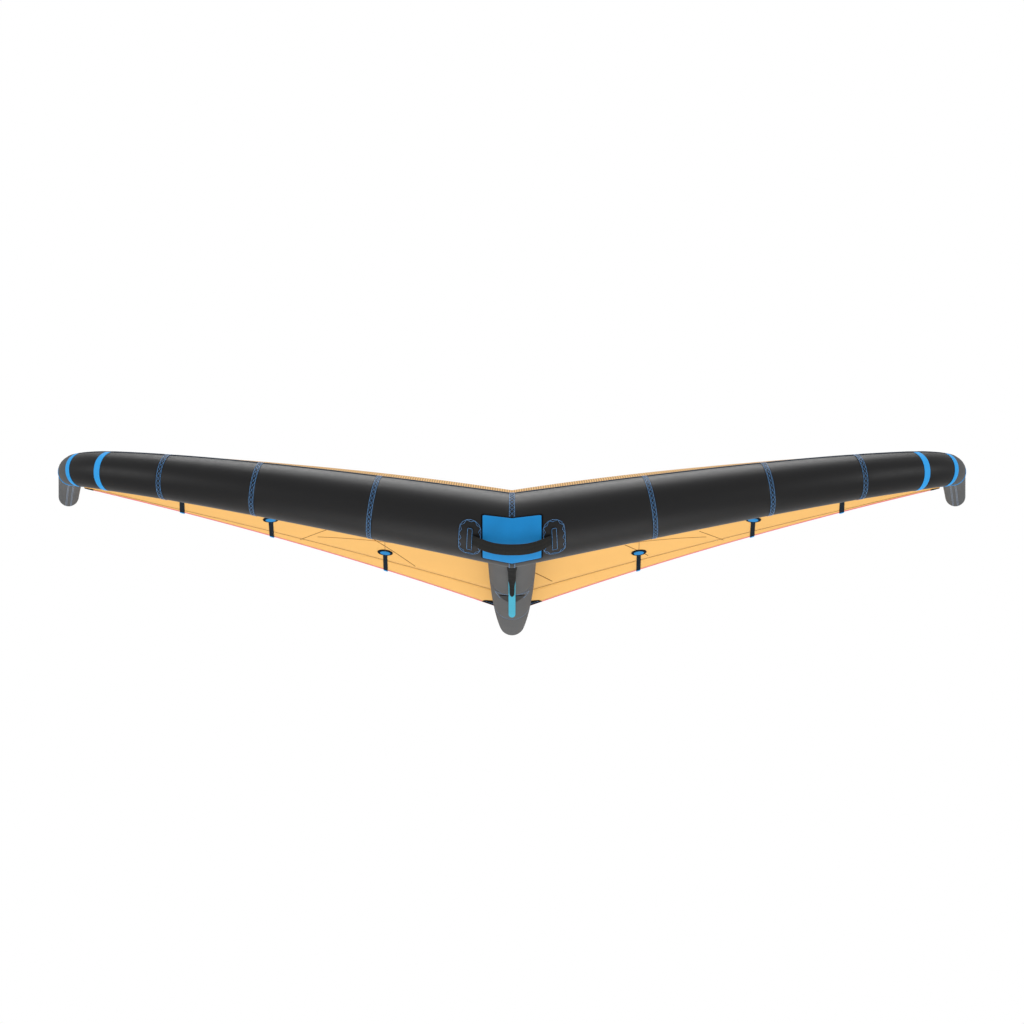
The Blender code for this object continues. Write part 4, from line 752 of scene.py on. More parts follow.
def thread_finish(name, tone):
    """Twisted polyester thread."""
    made = Finish(name, 0.45, 0.3)
    place = made.object_place()
    twist = made.wave(place, TWIST_SCALE, "DIAGONAL", 1.0)
    made.colour(made.mix(twist, shaded(tone, 0.82), shaded(tone, 1.12)))
    made.bump((twist, 0.4, 0.0002))
    return made.material


def moulded_finish(name, tone, roughness=0.42, shine=0.06):
    """Moulded plastic with a fine grain and faint scuffs."""
    made = Finish(name, roughness, shine=shine)
    place = made.object_place()
    grain = made.noise(place, 900.0, 2.0)
    scuffs = made.noise(place, 40.0, 6.0, (1.0, 4.0, 1.0))
    made.colour(made.mix(made.spread(scuffs, 0, 1, 0.45, 0.75), tone, shaded(tone, 1.5)))
    made.roughness(made.spread(scuffs, roughness - 0.06, roughness + 0.15, 0.3, 0.7))
    made.bump((grain, 0.25, 0.0001))
    return made.material


def rubber_finish(name, tone, roughness=0.6):
    """Foam-backed pad or tube skin with a fine leathery grain."""
    made = Finish(name, roughness, 0.02, shine=0.1)
    place = made.object_place()
    grain = made.node("ShaderNodeTexVoronoi", {"Vector": place, "Scale": 260.0}).outputs["Distance"]
    cloudy = made.noise(place, 14.0, 3.0)
    made.colour(made.mix(made.spread(cloudy, 0, 1, 0.3, 0.7), shaded(tone, 0.94), shaded(tone, 1.05)))
    made.bump((grain, 0.35, 0.0003), (cloudy, 0.2, 0.0015))
    return made.material


def film_finish(name, tone):
    """Pale bladder film with cloudy patches."""
    made = Finish(name, 0.22, 0.0, 0.2)
    place = made.object_place()
    cloudy = made.noise(place, 11.0, 4.0)
    made.colour(made.mix(cloudy, shaded(tone, 0.85), shaded(tone, 1.1)))
    made.bump((made.noise(place, 25.0, 4.0), 0.4, 0.002))
    return made.material


def fibre_finish(name, tone):
    """Pultruded strip with long glass fibres."""
    made = Finish(name, 0.3, 0.0, 0.4)
    place = made.object_place()
    fibres = made.noise(place, 300.0, 2.0, (1.0, 0.05, 1.0))
    made.colour(made.mix(fibres, shaded(tone, 0.8), shaded(tone, 1.15)))
    made.bump((fibres, 0.3, 0.0001))
    return made.material


FINISHES = {}


def finish(name):
    """The wing's finishes by name, each made once."""
    if name not in FINISHES:
        tones = palette()
        makers = {
            "casing": lambda: woven_finish("casing_cloth", tones.casing, 0.42, 0.03, worn=0.06, shine=0.15),
            "grey": lambda: woven_finish("grey_cloth", tones.grey, 0.6, 0.02, worn=0.04, shine=0.02),
            "patch": lambda: woven_finish("patch_cloth", tones.patch, 0.6, 0.05, shine=0.1),
            "edging": lambda: woven_finish("edging", tones.edging, 0.6, 0.0, shine=0.03),
            "print": lambda: woven_finish("printed_stroke", tones.print, 0.7, 0.0, shine=0.05),
            "tape": lambda: woven_finish("seam_tape", tones.tape, 0.5, 0.02, shine=0.12),
            "luff": lambda: woven_finish("luff_tape", tones.luff, 0.6, 0.02, shine=0.05),
            "pocket": lambda: woven_finish("pocket_cloth", tones.pocket, 0.6, 0.0, shine=0.03),
            "band": lambda: woven_finish("bright_band", tones.band, 0.5, 0.02, worn=0.04, shine=0.08),
            "hem": lambda: woven_finish("hem_tape", tones.hem, 0.6, 0.02, worn=0.05, shine=0.03),
            "strip": lambda: woven_finish("base_strip", tones.strip, 0.5, 0.02, worn=0.05, shine=0.02),
            "pad": lambda: rubber_finish("wear_pad", tones.pad),
            "canopy": lambda: ripstop_finish("canopy_cloth", tones.canopy, tones.canopy_yarn,
                                             bpy.context.scene.wing_sizes.grid_pitch),
            "canopy_seam": lambda: woven_finish("canopy_seam", tones.canopy_seam, 0.6, 0.1),
            "webbing": lambda: webbing_finish("webbing", tones.webbing),
            "thread": lambda: thread_finish("thread", tones.thread),
            "pale_thread": lambda: thread_finish("pale_thread", tones.pale_thread),
            "plastic": lambda: moulded_finish("moulded_black", tones.plastic),
            "rail": lambda: moulded_finish("rail_black", tones.plastic, 0.55, 0.03),
            "lever": lambda: moulded_finish("moulded_blue", tones.band, 0.35),
            "bladder": lambda: film_finish("bladder_film", tones.bladder),
            "hose": lambda: rubber_finish("hose_rubber", tones.hose, 0.4),
            "batten": lambda: fibre_finish("batten_fibre", (0.55, 0.56, 0.5)),
        }
        FINISHES[name] = makers[name]()
    return FINISHES[name]


# Leading edge

LE_SIDES = 96
RING_GAP = 0.012
SKIN = 0.001
CENTRE_GAP = 0.0004
CAP_SHARES = (0.12, 0.24, 0.36, 0.48, 0.6, 0.72, 0.84, 0.94)


def le_casing(wing, name, start, end, side, look, node, gap=RING_GAP, capped=False):
    """Casing of the leading edge from start to end, closed by a rounded tip when capped."""
    rows = rings(lambda u, turn: wing.le_point(u, turn, 0, side), spaced(start, end, gap), LE_SIDES)
    tip = None
    if capped:
        rows += rings(lambda share, turn: wing.le_cap(share, turn, 0, side), CAP_SHARES, LE_SIDES)
        tip = wing.le_cap(1, 0, 0, side)
    ends = {"last" if side > 0 else "first": tip}
    sewn(name, rows[::side], SKIN, look, [node], around=True, **ends)


class WING_OT_leading_edge(bpy.types.Operator):
    """Build the casings of the leading edge and the wing tips"""
    bl_idname = "wing.leading_edge"
    bl_label = "Leading edge"

    def execute(self, context):
        wing = shape()
        half = PANEL_GAP / 2
        for label, side in SIDES:
            for panel, (start, end) in enumerate(zip(wing.seams, wing.seams[1:-1]), 1):
                first = start + (half if start else CENTRE_GAP)
                le_casing(wing, f"casing_{panel}_{label}", first, end - half, side,
                          "casing", f"le_panel_{panel}_{label}")
            le_casing(wing, f"tip_casing_{label}", wing.le_reach + half, wing.tip_ring - half, side,
                      "casing", f"tip_bend_{label}", RING_GAP / 2)
            le_casing(wing, f"tip_tail_{label}", wing.tip_ring + half, wing.le_end, side,
                      "grey", f"tip_end_{label}", RING_GAP / 2, capped=True)
        return {"FINISHED"}


# Bladders

BLADDER_INSET = 0.0035
BLADDER_SIDES = 32
BLADDER_STEP = 0.03
BLADDER_FILM = 0.0006
VALVE_HOLE = 0.03
STRUT_BLADDER_START = 0.135
STRUT_BLADDER_NOSE = 0.006


class WING_OT_bladders(bpy.types.Operator):
    """Build the air bladders inside the leading edge and the strut"""
    bl_idname = "wing.bladders"
    bl_label = "Bladders"

    def execute(self, context):
        wing = shape()
        self.leading_bladder(wing)
        self.strut_bladder(wing)
        return {"FINISHED"}

    def leading_bladder(self, wing):
        """Bladder from tip to tip, open behind the valve's flap."""
        right = rings(lambda u, turn: wing.le_point(u, turn, -BLADDER_INSET),
                      spaced(0, wing.le_end, BLADDER_STEP), BLADDER_SIDES)
        right += rings(lambda share, turn: wing.le_cap(share, turn, -BLADDER_INSET, 1),
                       CAP_SHARES, BLADDER_SIDES)
        left = [[mirrored(point) for point in row] for row in right[:0:-1]]
        tip = wing.le_cap(1, 0, -BLADDER_INSET, 1)
        bladder = surface("leading_bladder", left + right, around=True, first=mirrored(tip), last=tip)
        hinge = hinge_place("flap")
        mesh = bmesh.new()
        mesh.from_mesh(bladder.data)
        hole = [face for face in mesh.faces if (face.calc_center_median() - hinge).length < VALVE_HOLE]
        bmesh.ops.delete(mesh, geom=hole, context="FACES")
        mesh.to_mesh(bladder.data)
        mesh.free()
        finished(thicken(bladder, BLADDER_FILM), "bladder", ["le_bladder"])

    def strut_bladder(self, wing):
        """Bladder along the strut, closed at both ends."""
        rows = rings(lambda y, turn: wing.strut_point(y, turn, -BLADDER_INSET),
                     spaced(STRUT_BLADDER_START, wing.strut_back, BLADDER_STEP), BLADDER_SIDES)
        rows += rings(lambda share, turn: wing.strut_cap(share, turn, -BLADDER_INSET),
                      CAP_SHARES, BLADDER_SIDES)
        front = middle_of(rows[0]) - Vector((0, STRUT_BLADDER_NOSE, 0))
        sewn("strut_air_bladder", rows, BLADDER_FILM, "bladder", ["strut_bladder"],
             around=True, first=front, last=wing.strut_cap(1, 0, -BLADDER_INSET))


# Tapes and stitching

TAPE_LIFT = 0.0003
TAPE_THICKNESS = 0.0006
TAPE_STEP = 0.003
STITCH_GAP = 0.0001
STITCH_LIFT = TAPE_LIFT + TAPE_THICKNESS + STITCH_GAP
LATTICE_STEP_SHARE = 1.35
LATTICE_INNER_RADII = 3
LATTICE_EDGE_RADII = 1.5
TIP_LINE_LIFT = 0.0006
TIP_LINE_RADIUS = 0.0016
TIP_STITCH_OFFSETS = (-0.0095, -0.0062, 0.0062, 0.0095)
TIP_STITCH_STEP = 0.01
TIP_STITCH_LIFT = 0.0004
TIP_STITCH_RADIUS = 0.0006


def over_skin(wing, u, turn, out, side=1):
    """Point over the leading edge's skin at a span place that may lie past the middle of the wing."""
    return mirrored(wing.le_point(abs(u), turn, out), -1 if u < 0 else side)


def le_band(wing, name, place, width, side, look, node):
    """Tape round the leading edge, outside its skin."""
    rows = rings(lambda u, turn: over_skin(wing, u, turn, TAPE_LIFT, side),
                 spaced(place - width / 2, place + width / 2, TAPE_STEP), LE_SIDES)
    sewn(name, rows[::side], TAPE_THICKNESS, look, [node], OUTWARD, around=True)


def le_lattice(wing, name, place, width, side):
    """Crossed zigzag threads between two edge threads, all round a tape."""
    radius = wing.le_section(place)[1]
    steps = 2 * round(HALF_TURN * radius / (wing.stitch_pitch * LATTICE_STEP_SHARE))
    inner = width / 2 - wing.thread_radius * LATTICE_INNER_RADII
    edge = width / 2 - wing.thread_radius * LATTICE_EDGE_RADII

    def stitch(offset, turn):
        return over_skin(wing, place + offset, turn, STITCH_LIFT, side)

    runs = [[stitch(inner * (1 if (step + phase) % 2 else -1), turn)
             for step, turn in enumerate(turns(steps))] for phase in (0, 1)]
    runs += rings(stitch, (-edge, edge), LE_SIDES)
    thread(name, runs, wing.thread_radius, "thread", closed=True)


class WING_OT_tapes(bpy.types.Operator):
    """Build the seam tapes with their stitching, and the bright bands of the tips"""
    bl_idname = "wing.tapes"
    bl_label = "Tapes and stitching"

    def execute(self, context):
        wing = shape()
        le_band(wing, "middle_tape", 0, wing.centre_tape_width, 1, "tape", "centre_tape")
        le_lattice(wing, "middle_stitching", 0, wing.centre_tape_width, 1)
        for label, side in SIDES:
            for seam, place in enumerate((wing.seam_1, wing.seam_2, wing.seam_3), 1):
                le_band(wing, f"tape_{seam}_{label}", place, wing.tape_width, side,
                        "tape", f"seam_tape_{seam}_{label}")
                le_lattice(wing, f"stitching_{seam}_{label}", place, wing.tape_width, side)
            le_band(wing, f"bright_band_{label}", wing.le_reach, wing.band_width, side,
                    "band", f"tip_band_{label}")
            le_band(wing, f"bright_ring_{label}", wing.tip_ring, wing.ring_width, side,
                    "band", f"tip_ring_{label}")
            self.tip_lines(wing, label, side)
        return {"FINISHED"}

    def tip_lines(self, wing, label, side):
        """Thin line round a tip's tail, and the twin stitching lines under it."""
        place = wing.le_reach + wing.tip_line_place
        ring = [wing.le_point(place, turn, TIP_LINE_LIFT, side) for turn in turns(LE_SIDES)]
        thread(f"tip_line_{label}", [ring], TIP_LINE_RADIUS, "band", closed=True)
        runs = [[wing.le_point(u, HALF_TURN + offset / wing.le_section(u)[1], TIP_STITCH_LIFT, side)
                 for u in spaced(place + TIP_STITCH_STEP, wing.le_end, TIP_STITCH_STEP)]
                for offset in TIP_STITCH_OFFSETS]
        thread(f"tip_stitching_{label}", runs, TIP_STITCH_RADIUS, "pale_thread")


# Strut

STRUT_SIDES = 72
STRUT_CLEAR = 0.14
STRUT_FRONT_GAP = 0.0012
STRUT_FRONT_STEPS = 6
EDGE_HALVINGS = 30
STRUT_FRONT_STEP = 0.015
STRUT_REAR_STEP = 0.012
STRUT_STITCH_LIFT = 0.0002
STRUT_STITCH_RADIUS = 0.0005
TWIN_STITCH = 0.0025


def tube_gap(wing, point):
    """Distance of a point, seen from the middle of the leading edge, from the tube's skin."""
    centre, radius, up, back, along = wing.le_section(abs(point.x))
    arm = Vector((abs(point.x), point.y, point.z)) - centre
    return (arm - along * arm.dot(along)).length - radius


def strut_front_edge(wing):
    """Where the strut's casing starts behind the leading edge, turn by turn."""
    starts = []
    for turn in turns(STRUT_SIDES):
        near, far = 0.0, STRUT_CLEAR
        for _ in range(EDGE_HALVINGS):
            half_way = (near + far) / 2
            if tube_gap(wing, wing.strut_point(half_way, turn) - wing.origin) < STRUT_FRONT_GAP:
                near = half_way
            else:
                far = half_way
        starts.append(far)
    return starts


class WING_OT_strut(bpy.types.Operator):
    """Build the strut's three casings and their seams"""
    bl_idname = "wing.strut"
    bl_label = "Strut"

    def execute(self, context):
        wing = shape()
        half = PANEL_GAP / 2
        starts = strut_front_edge(wing)
        front = [[wing.strut_point(start + (STRUT_CLEAR - start) * share, turn)
                  for start, turn in zip(starts, turns(STRUT_SIDES))]
                 for share in between(0, 1, STRUT_FRONT_STEPS)[:-1]]
        front += rings(wing.strut_point, spaced(STRUT_CLEAR, wing.strut_seam_1 - half, STRUT_FRONT_STEP),
                       STRUT_SIDES)
        rear = rings(wing.strut_point,
                     spaced(wing.strut_seam_1 + half, wing.strut_seam_2 - half, STRUT_REAR_STEP), STRUT_SIDES)
        tail = rings(wing.strut_point, spaced(wing.strut_seam_2 + half, wing.strut_back, STRUT_REAR_STEP),
                     STRUT_SIDES)
        tail += rings(wing.strut_cap, CAP_SHARES, STRUT_SIDES)
        sewn("strut_front_casing", front, SKIN, "grey", ["strut_panel_front"], around=True)
        sewn("strut_rear_casing", rear, SKIN, "grey", ["strut_panel_rear"], around=True)
        sewn("strut_tail_casing", tail, SKIN, "grey", ["strut_end"], around=True, last=wing.strut_cap(1, 0))
        seams = (wing.strut_seam_1, wing.strut_seam_2 - TWIN_STITCH, wing.strut_seam_2 + TWIN_STITCH)
        runs = rings(lambda y, turn: wing.strut_point(y, turn, STRUT_STITCH_LIFT), seams, STRUT_SIDES)
        thread("strut_stitching", runs, STRUT_STITCH_RADIUS, "pale_thread", closed=True)
        return {"FINISHED"}


# Canopy

CANOPY_CLOTH = 0.0008
SPAN_STEP = 0.016
FRONT_SEAM = 0.32
REAR_SEAM = 0.915
REAR_SEAM_TURN = 0.05
REAR_SEAM_END = 0.974
PANEL_STEPS = {"front": 30, "middle": 48, "rear": 6, "hem": 3}
CHORD_POWER = 1.35
HEM_WIDTH = 0.010
HEM_REAR_SHARE = 0.5
HEM_DROP = 0.0003
HEM_THICKNESS = 0.0014
SPAN_SEAM_RADIUS = 0.0008
SPAN_SEAM_OUT = 0.0003
CHORD_SEAM_RADIUS = 0.0011
CHORD_SEAM_DROP = 0.0004
CHORD_SEAM_START = 0.05
BATTEN_SEAT = 0.014
MIDDLE_SEAM_INNER = 0.405
MIDDLE_SEAM_OUTER = 0.69
MIDDLE_SEAM_BACK = 1.495
MIDDLE_SEAM_SLANT = 0.08
MIDDLE_SEAM_DROP = 0.0008
MIDDLE_SEAM_RADIUS = 0.0009
PRINTED_WIDTH = 0.0036
PRINTED_DROP = 0.0003
PRINTED_THICKNESS = 0.0003
PRINTED_STROKES = (
    (-1, (0.753, 1.470), (0.655, 1.365)),
    (-1, (0.493, 1.438), (0.350, 1.675)),
    (1, (0.662, 1.380), (0.753, 1.475)),
    (1, (0.402, 1.476), (0.490, 1.609)),
    (1, (0.083, 1.593), (0.146, 1.716)))
TIP_CORNER_START = 1.53
TIP_CORNER_SHARE = 0.965
TIP_CORNER_DROP = 0.0006
TIP_CORNER_THICKNESS = 0.0006
LUFF_STEP = 0.012
LUFF_START = math.radians(8)
LUFF_BACK = math.radians(21)
LUFF_FACE = 0.0022
LUFF_LIFT = 0.0010
LUFF_THICKNESS = 0.0008


def canopy_spans(wing):
    """Span places from the right tip to the left one."""
    right = spaced(0, wing.canopy_end, SPAN_STEP)
    return right[::-1] + [-u for u in right[1:]]


def rear_seam(wing, u):
    """Chord share of the rear seam, nearer the trailing edge towards the tips."""
    return min(REAR_SEAM + REAR_SEAM_TURN * wing.te_reach(abs(u)), REAR_SEAM_END)


def hem_share(wing, u):
    """Chord share at which the hem starts, narrower where the chord runs out."""
    return 1 - min(HEM_WIDTH / wing.chord(u), HEM_REAR_SHARE * (1 - rear_seam(wing, u)))


def canopy_panel(wing, name, start, end, steps, power=1.0, lift=0.0):
    """Panel of the canopy between two chord shares given by span place."""
    spans = canopy_spans(wing)
    rows = []
    cloth = []
    for step in range(steps + 1):
        part = (step / steps) ** power
        row = []
        marks = []
        for u in spans:
            low = start(abs(u))
            share = low + (end(abs(u)) - low) * part
            row.append(wing.canopy_point(u, share, lift))
            marks.append((row[-1].x, share * wing.chord(abs(u))))
        rows.append(row)
        cloth.append(marks)
    return surface(name, rows, cloth)


class WING_OT_canopy(bpy.types.Operator):
    """Build the canopy's panels, its hem, its seams, its printed strokes and its front tape"""
    bl_idname = "wing.canopy"
    bl_label = "Canopy"

    def execute(self, context):
        wing = shape()
        self.panels(wing)
        self.seams(wing)
        self.printed_strokes(wing)
        self.tip_corners(wing)
        self.luff(wing)
        return {"FINISHED"}

    def panels(self, wing):
        """Three cloth panels from front to back, and the tape along the trailing edge."""
        def before(u, share):
            return share - wing.seam_gap(u, share)

        def behind(u, share):
            return share + wing.seam_gap(u, share)

        panels = (
            ("front", lambda u: 0, lambda u: before(u, FRONT_SEAM), CHORD_POWER),
            ("middle", lambda u: behind(u, FRONT_SEAM), lambda u: before(u, rear_seam(wing, u)), 1),
            ("rear", lambda u: behind(u, rear_seam(wing, u)), lambda u: before(u, hem_share(wing, u)), 1))
        for part, start, end, power in panels:
            piece = canopy_panel(wing, f"canopy_{part}_cloth", start, end, PANEL_STEPS[part], power)
            finished(thicken(piece, CANOPY_CLOTH, OUTWARD), "canopy", [f"canopy_{part}"])
        hem = canopy_panel(wing, "trailing_tape", lambda u: behind(u, hem_share(wing, u)), lambda u: 1,
                           PANEL_STEPS["hem"], lift=-HEM_DROP)
        finished(thicken(hem, HEM_THICKNESS, OUTWARD), "hem", ["trailing_hem"])

    def seams(self, wing):
        """Threads along the panels' seams, in line with the battens and beside the strut."""
        spans = canopy_spans(wing)
        runs = []
        for lift in (-SPAN_SEAM_OUT, CANOPY_CLOTH + SPAN_SEAM_OUT):
            runs.append([wing.canopy_point(u, FRONT_SEAM, lift) for u in spans])
            runs.append([wing.canopy_point(u, rear_seam(wing, u), lift) for u in spans])
        thread("canopy_span_seams", runs, SPAN_SEAM_RADIUS, "canopy_seam")
        runs = []
        for place in wing.battens:
            reach = (wing.batten_length + BATTEN_SEAT + 2 * wing.pocket_head_radius) / wing.chord(place)
            for label, side in SIDES:
                runs.append([wing.canopy_point(place * side, share, -CHORD_SEAM_DROP)
                             for share in between(CHORD_SEAM_START, 1 - reach, 60)])
        thread("canopy_chord_seams", runs, CHORD_SEAM_RADIUS, "canopy_seam")
        runs = [[wing.under_canopy(x, MIDDLE_SEAM_BACK - MIDDLE_SEAM_SLANT * x, MIDDLE_SEAM_DROP, side)
                 for x in between(MIDDLE_SEAM_INNER, MIDDLE_SEAM_OUTER, 18)] for label, side in SIDES]
        thread("canopy_middle_seams", runs, MIDDLE_SEAM_RADIUS, "canopy_seam")

    def printed_strokes(self, wing):
        """Flat strokes under the canopy, each from a near to a far level place."""
        for index, (side, near, far) in enumerate(PRINTED_STROKES, 1):
            near, far = Vector(near), Vector(far)
            across = (far - near).orthogonal().normalized() * PRINTED_WIDTH / 2
            rows = [[wing.under_canopy(*(near.lerp(far, share) + across * part), PRINTED_DROP, side)
                     for share in between(0, 1, 12)] for part in (-1, 0, 1)]
            sewn(f"printed_stroke_{index}", facing(rows, side), PRINTED_THICKNESS, "print")

    def tip_corners(self, wing):
        """Dark patches under the canopy's two rear corners."""
        for label, side in SIDES:
            rows = [[wing.canopy_point(u, share, -TIP_CORNER_DROP, side)
                     for u in between(wing.canopy_end, TIP_CORNER_START, 10)]
                    for share in between(TIP_CORNER_SHARE, 1, 3)]
            sewn(f"tip_corner_{label}", facing(rows, side), TIP_CORNER_THICKNESS, "patch")

    def luff(self, wing):
        """Tape over the canopy's front edge, from tip to tip."""
        rows = []
        places = spaced(0, wing.canopy_end, LUFF_STEP)
        for u in [-u for u in places[:0:-1]] + places:
            front = -LUFF_START - math.acos(1 - LUFF_FACE / wing.le_section(abs(u))[1])
            rows.append([over_skin(wing, u, turn, LUFF_LIFT) for turn in between(front, LUFF_BACK, 10)])
        sewn("luff_tape", rows, LUFF_THICKNESS, "luff")


# Battens and patches under the trailing edge

DISC_END = 0.999
DISC_STEPS = 14
CROWN_SLOPE = 2.5
HEAD_SHIFT = 0.016
POCKET_CLOTH = 0.0008
POCKET_DROP = 0.0006
POCKET_DISC_DROP = 0.0004
POCKET_BULGE = 0.0022
POCKET_OVERLAP = 0.004
POCKET_RIM_DROP = 0.0014
POCKET_RIM_RADIUS = 0.0020
HEAD_BACK_SHARE = 0.22
HEAD_RADIUS_SHARE = 0.72
HEAD_DROP = 0.0013
HEAD_CROWN = 0.0008
HEAD_THICKNESS = 0.0006
POCKET_END_LENGTH = 0.009
POCKET_END_DROP = 0.0030
POCKET_END_CROWN = 0.0006
POCKET_STITCH_DROP = 0.0028
POCKET_STITCH_SHIFT = 0.0004
POCKET_STITCH_RADIUS = 0.0005
CORNER_INNER = 0.060
CORNER_OUTER = 0.111
CORNER_MARGIN = 0.004
CORNER_RISE = 2.2
CORNER_DEPTH = 0.016
CORNER_SLOPE = 0.72
CORNER_DROP = 0.0004
CORNER_CLOTH = 0.0008
CORNER_STITCH_BACK = 0.022
CORNER_STITCH_OUTER = 0.014
CORNER_STITCH_INNER = 0.004
CORNER_STITCH_DROP = 0.0014


def disc_rows(wing, centre, radius, drop, side, crown=0.0):
    """Round patch below the canopy, in rows from front to back."""
    rows = []
    for part in between(-DISC_END, DISC_END, DISC_STEPS):
        half = radius * math.sqrt(1 - part ** 2)
        row = []
        for across in between(1, -1, DISC_STEPS):
            edge = min(1.0, (1 - part ** 2 - (half / radius * across) ** 2) * CROWN_SLOPE)
            row.append(wing.under_canopy(centre.x + half * across, centre.y + radius * part,
                                         drop + crown * max(edge, 0), side))
        rows.append(row)
    return rows


class WING_OT_battens(bpy.types.Operator):
    """Build the batten pockets with their round heads, and the patches under the trailing edge"""
    bl_idname = "wing.battens"
    bl_label = "Batten pockets"

    def execute(self, context):
        wing = shape()
        for index, place in enumerate(wing.battens, 1):
            for label, side in SIDES:
                self.pocket(wing, place, f"{index}_{label}", side)
                coated(frame["nodes"][f"batten_{index}_{label}"], "batten")
        for label, side in SIDES:
            self.corner_patch(wing, label, side)
        return {"FINISHED"}

    def pocket(self, wing, place, tag, side):
        """Pocket of one batten: its rim, its cloth, its round head, its bright end and its stitching."""
        chord = wing.chord(place)
        radius = wing.pocket_head_radius
        half = wing.pocket_stem_width / 2
        end = 1 - BATTEN_SEAT / chord
        start = end - (wing.batten_length + HEAD_SHIFT) / chord
        centre = wing.canopy_base(place, start - radius / chord)
        shift = Vector((0, HEAD_BACK_SHARE * radius, 0))
        rim = [wing.under_canopy(centre.x + radius * math.sin(turn), centre.y + radius * math.cos(turn),
                                 POCKET_RIM_DROP, side) for turn in turns(32)]
        thread(f"pocket_rim_{tag}", [rim], POCKET_RIM_RADIUS, "pocket", closed=True)
        rows = disc_rows(wing, centre, radius, POCKET_DISC_DROP, side)
        for share in between(start - POCKET_OVERLAP / chord, 1, 12):
            row = []
            for across in between(1, -1, 14):
                bulge = POCKET_BULGE * max(0.0, 1 - abs(across) ** 3) if share > start else 0.0
                row.append(wing.canopy_point(place + half * across, share, -(POCKET_DROP + bulge), side))
            rows.append(row)
        sewn(f"pocket_{tag}", facing(rows, side), POCKET_CLOTH, "pocket", [f"batten_pocket_{tag}"])
        rows = disc_rows(wing, centre + shift, radius * HEAD_RADIUS_SHARE, HEAD_DROP, side, HEAD_CROWN)
        sewn(f"pocket_head_{tag}", facing(rows, side), HEAD_THICKNESS, "pad")
        rows = [[wing.canopy_point(place + half * across, share,
                                   -(POCKET_END_DROP + POCKET_END_CROWN * (1 - across ** 2)), side)
                 for across in between(1, -1, 6)] for share in between(1 - POCKET_END_LENGTH / chord, 1, 3)]
        sewn(f"pocket_end_{tag}", facing(rows, side), TAPE_THICKNESS, "band", slot="seam_tape")
        run = [wing.canopy_point(place - POCKET_STITCH_SHIFT, share, -POCKET_STITCH_DROP, side)
               for share in between(start + POCKET_OVERLAP / chord, end, 10)]
        thread(f"pocket_stitching_{tag}", [run], POCKET_STITCH_RADIUS, "pale_thread")

    def corner_patch(self, wing, label, side):
        """Small patch beside the strut, with a stitching line near its back edge."""
        columns = []
        for x in between(CORNER_OUTER, CORNER_INNER, 12):
            back = wing.te_point(x / TE_FAN_SHARE).y - CORNER_MARGIN
            depth = min(CORNER_RISE * (CORNER_OUTER - x), CORNER_DEPTH + CORNER_SLOPE * (CORNER_OUTER - x))
            columns.append([wing.under_canopy(x, back - depth * part, CORNER_DROP, side)
                            for part in between(1, 0, 8)])
        rows = [list(row) for row in zip(*columns)]
        sewn(f"corner_patch_{label}", facing(rows, side), CORNER_CLOTH, "edging", [f"te_patch_{label}"])
        run = [wing.under_canopy(x, wing.te_point(x / TE_FAN_SHARE).y - CORNER_STITCH_BACK,
                                 CORNER_STITCH_DROP, side)
               for x in between(CORNER_OUTER - CORNER_STITCH_OUTER, CORNER_INNER + CORNER_STITCH_INNER, 8)]
        thread(f"corner_stitching_{label}", [run], wing.thread_radius, "thread")


# Rail, base strip and patch under the strut

STRIP_END = 0.042
STRIP_END_STEPS = 14
STRIP_STEP = 0.02
STRIP_LIFT = 0.0010
STRIP_THICKNESS = 0.0021
BOW_MIDDLE = 1.293
BOW_MARGIN = 0.002
BOW_SWEEP = 0.040
BOW_TURN = math.radians(33)
BOW_BACK = 1.388
BOW_CORNER = 0.033
BOW_CORNER_SHARE = 0.35
BOW_LIFT = 0.0003
BOW_THICKNESS = 0.0005
BOW_SHADOW_LINE_LIFT = 0.0011
BOW_SHADOW_LINE_RADIUS = 0.0015
CURVE_TURN = math.radians(49.4)
CURVE_SWEEP = 0.044
CURVE_RETURN_TURN = math.radians(18.4)
CURVE_RETURN = 0.030
CURVE_TWIN = 0.003
CURVE_LIFT = 0.0004
CURVE_RADIUS = 0.0007
RAIL_WIDTHS = ((0.74, 0.034), (0.885, 0.034), (0.93, 0.0275), (1.06, 0.0255), (1.14, 0.0172), (1.272, 0.0165))
RAIL_END = 0.030
RAIL_END_STEPS = 10
RAIL_STEP = 0.01
RAIL_LIFT = 0.0042
RAIL_HEIGHT = 0.012
RAIL_ROUNDING = 0.0022
RAIL_ROUNDING_SHARE = 0.8


def rail_row(wing, y):
    """Cross-section of the rail below the strut, its lower edges rounded."""
    half = read_off(RAIL_WIDTHS, y) / 2
    start = wing.rail_back - RAIL_END
    if y > start:
        half *= math.sqrt(1 - ((y - start) / RAIL_END) ** 2)
    top = wing.strut_point(y, HALF_TURN, RAIL_LIFT).z
    bottom = wing.strut_point(y, HALF_TURN, 0).z - RAIL_HEIGHT
    corner = min(RAIL_ROUNDING, half * RAIL_ROUNDING_SHARE)
    side = [(half, top), (half, bottom + corner)]
    side += [(half - corner * (1 - math.cos(turn)), bottom + corner * (1 - math.sin(turn)))
             for turn in quarter_turns(4)]
    side.append((half - corner, bottom))
    return [Vector((x, y - wing.origin_back, z)) for x, z in side + [(-x, z) for x, z in side[::-1]]]


def bow_front(turn):
    """Place of the bow patch's front edge, which curves back to both sides."""
    return BOW_MIDDLE + BOW_MARGIN + BOW_SWEEP * (turn / BOW_TURN) ** 2


def curve_back(turn):
    """How far the curved stitching has swept back at a turn from the strut's lowest line."""
    return CURVE_SWEEP * (turn / CURVE_TURN) ** 2


